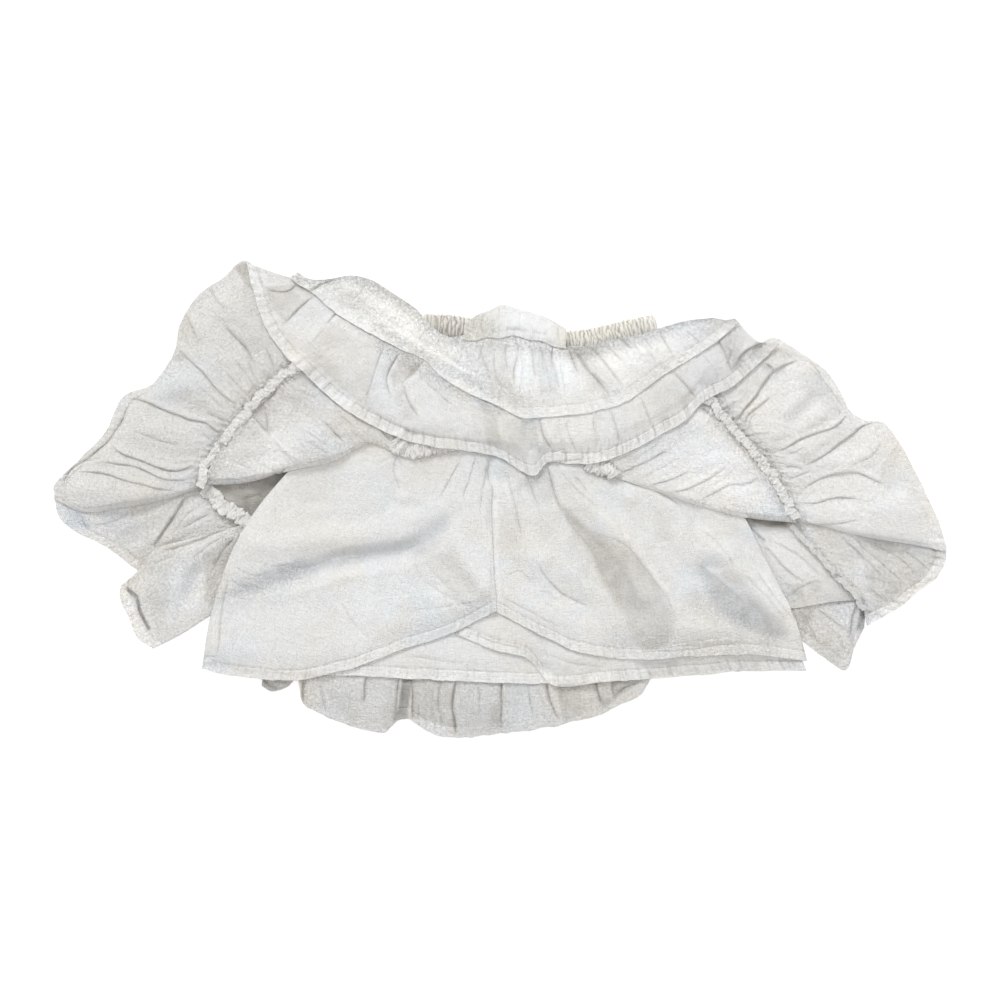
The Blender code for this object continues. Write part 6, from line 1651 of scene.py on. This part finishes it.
layCloth("tier_1", tierOne)

waistbandFront = {
    "finish": "waist", "held": "laid", "seed": 63, "wall": 0.3, "puff": 1, "lift": 0, "restReach": 9,
    "crumple": (20, 0.6), "paintedLight": -0.2,
    "sections": (  # upper edge, seam edge
        (464, 326, 463, 340), (475, 316, 475, 341), (488, 311, 486, 338), (502, 305, 500, 339),
        (515, 308, 513, 336), (530, 312, 528, 340), (545, 317, 543, 342), (555, 322, 554, 347),
        (566, 329, 566, 349)),
    "creases": (
        ("fold", 1.2, 1.3, 500, 306, 499, 320, 500, 338), ("fold", 0.9, 1.2, 520, 311, 520, 324, 519, 338),
        ("fold", 1.6, 1.3, 484, 314, 481, 326, 485, 338), ("valley", 1.4, 4, 472, 320, 477, 338),
        ("fold", 1.4, 1.2, 558, 326, 559, 338, 562, 350), ("fold", 1.2, 1.2, 491, 318, 494, 328, 492, 338),
        ("fold", 0.9, 0.9, 507, 326, 507, 340), ("fold", 1, 0.9, 524, 328, 523, 342),
        ("fold", 1.1, 0.9, 535, 328, 534, 344), ("fold", 1.2, 0.9, 546, 330, 545, 346),
        ("ridge", 0.8, 1.4, 476, 318, 482, 328, 480, 340), ("fold", 1, 1, 466, 330, 474, 334, 480, 342)),
    "patches": ((0.8, 14, 466, 332, 480, 324, 488, 330), (0.5, 6, 500, 339, 530, 341, 562, 348)),
    "facets": (
        ("warm", 0.5, 12, 450, 324, 474, 308, 490, 320, 494, 346, 450, 350),
        ("light", 0.9, 6, 506, 306, 540, 312, 548, 326, 510, 322),
        ("warm", 0.2, 8, 480, 312, 498, 307, 498, 326, 486, 324),
        ("warm", 0.45, 6, 556, 318, 572, 322, 572, 354, 556, 352),
        ("cool", 0.1, 8, 500, 310, 540, 322, 552, 344, 504, 334)),
}
layCloth("waistband_front", waistbandFront)


# the table, the light and the camera

studio = {
    "floorColor": (0.55, 0.55, 0.545, 1),
    "floorReach": 3.0,
    "floorLevel": -0.0006,
    "floorGlow": 0.6,
    "skyColor": (1, 0.985, 0.96, 1),
    "sky": 0.70,
    "lampColor": (0.965, 0.985, 1),
    "lamps": {  # place, size and power of each
        "keyLight": ((-2.2, 5.4, 5.4), 2.8, 275.0),
        "topLight": ((0.5, 0.9, 6.0), 2.4, 46.0),
        "fillLight": ((1.0, -1.6, 2.6), 2.0, 3.5)},
    "lens": 180.0,
    "sensor": 36.0,
    "cameraPlace": (0.0005, -0.001, 5.015),
}


def layFloor():
    reach, level = studio["floorReach"], studio["floorLevel"]
    corners = [(x * reach, y * reach, level) for x, y in ((-1, -1), (1, -1), (1, 1), (-1, 1))]
    mesh = bpy.data.meshes.new("floor")
    mesh.from_pydata(corners, [], [(0, 1, 2, 3)])
    floor = bpy.data.objects.new("floor", mesh)
    bpy.context.scene.collection.objects.link(floor)
    paint = bpy.data.materials.new("paleFloor")
    paint.use_nodes = True
    shader = paint.node_tree.nodes["Principled BSDF"].inputs
    shader["Base Color"].default_value = studio["floorColor"]
    shader["Roughness"].default_value = 0.9
    shader["Emission Color"].default_value = (1, 1, 1, 1)
    shader["Emission Strength"].default_value = studio["floorGlow"]
    mesh.materials.append(paint)


def areaLight(name, place, size, power):
    # a round light that points at the model's origin
    data = bpy.data.lights.new(name, "AREA")
    data.shape, data.size, data.energy, data.color = "DISK", size, power, studio["lampColor"]
    lamp = bpy.data.objects.new(name, data)
    lamp.location = place
    x, y, z = place
    lamp.rotation_euler = (math.atan2(math.hypot(x, y), z), 0, math.atan2(x, -y))
    bpy.context.scene.collection.objects.link(lamp)


layFloor()
for name, (place, size, power) in studio["lamps"].items():
    areaLight(name, place, size, power)

world = bpy.data.worlds.new("studio")
world.use_nodes = True
world.node_tree.nodes["Background"].inputs["Color"].default_value = studio["skyColor"]
world.node_tree.nodes["Background"].inputs["Strength"].default_value = studio["sky"]
bpy.context.scene.world = world

camera = bpy.data.objects.new("camera", bpy.data.cameras.new("camera"))
camera.data.lens = studio["lens"]
camera.data.sensor_width = studio["sensor"]
camera.location = studio["cameraPlace"]
bpy.context.scene.collection.objects.link(camera)
bpy.context.scene.camera = camera
bpy.context.scene.view_settings.view_transform = "Standard"
print("floor, lamps and camera set")
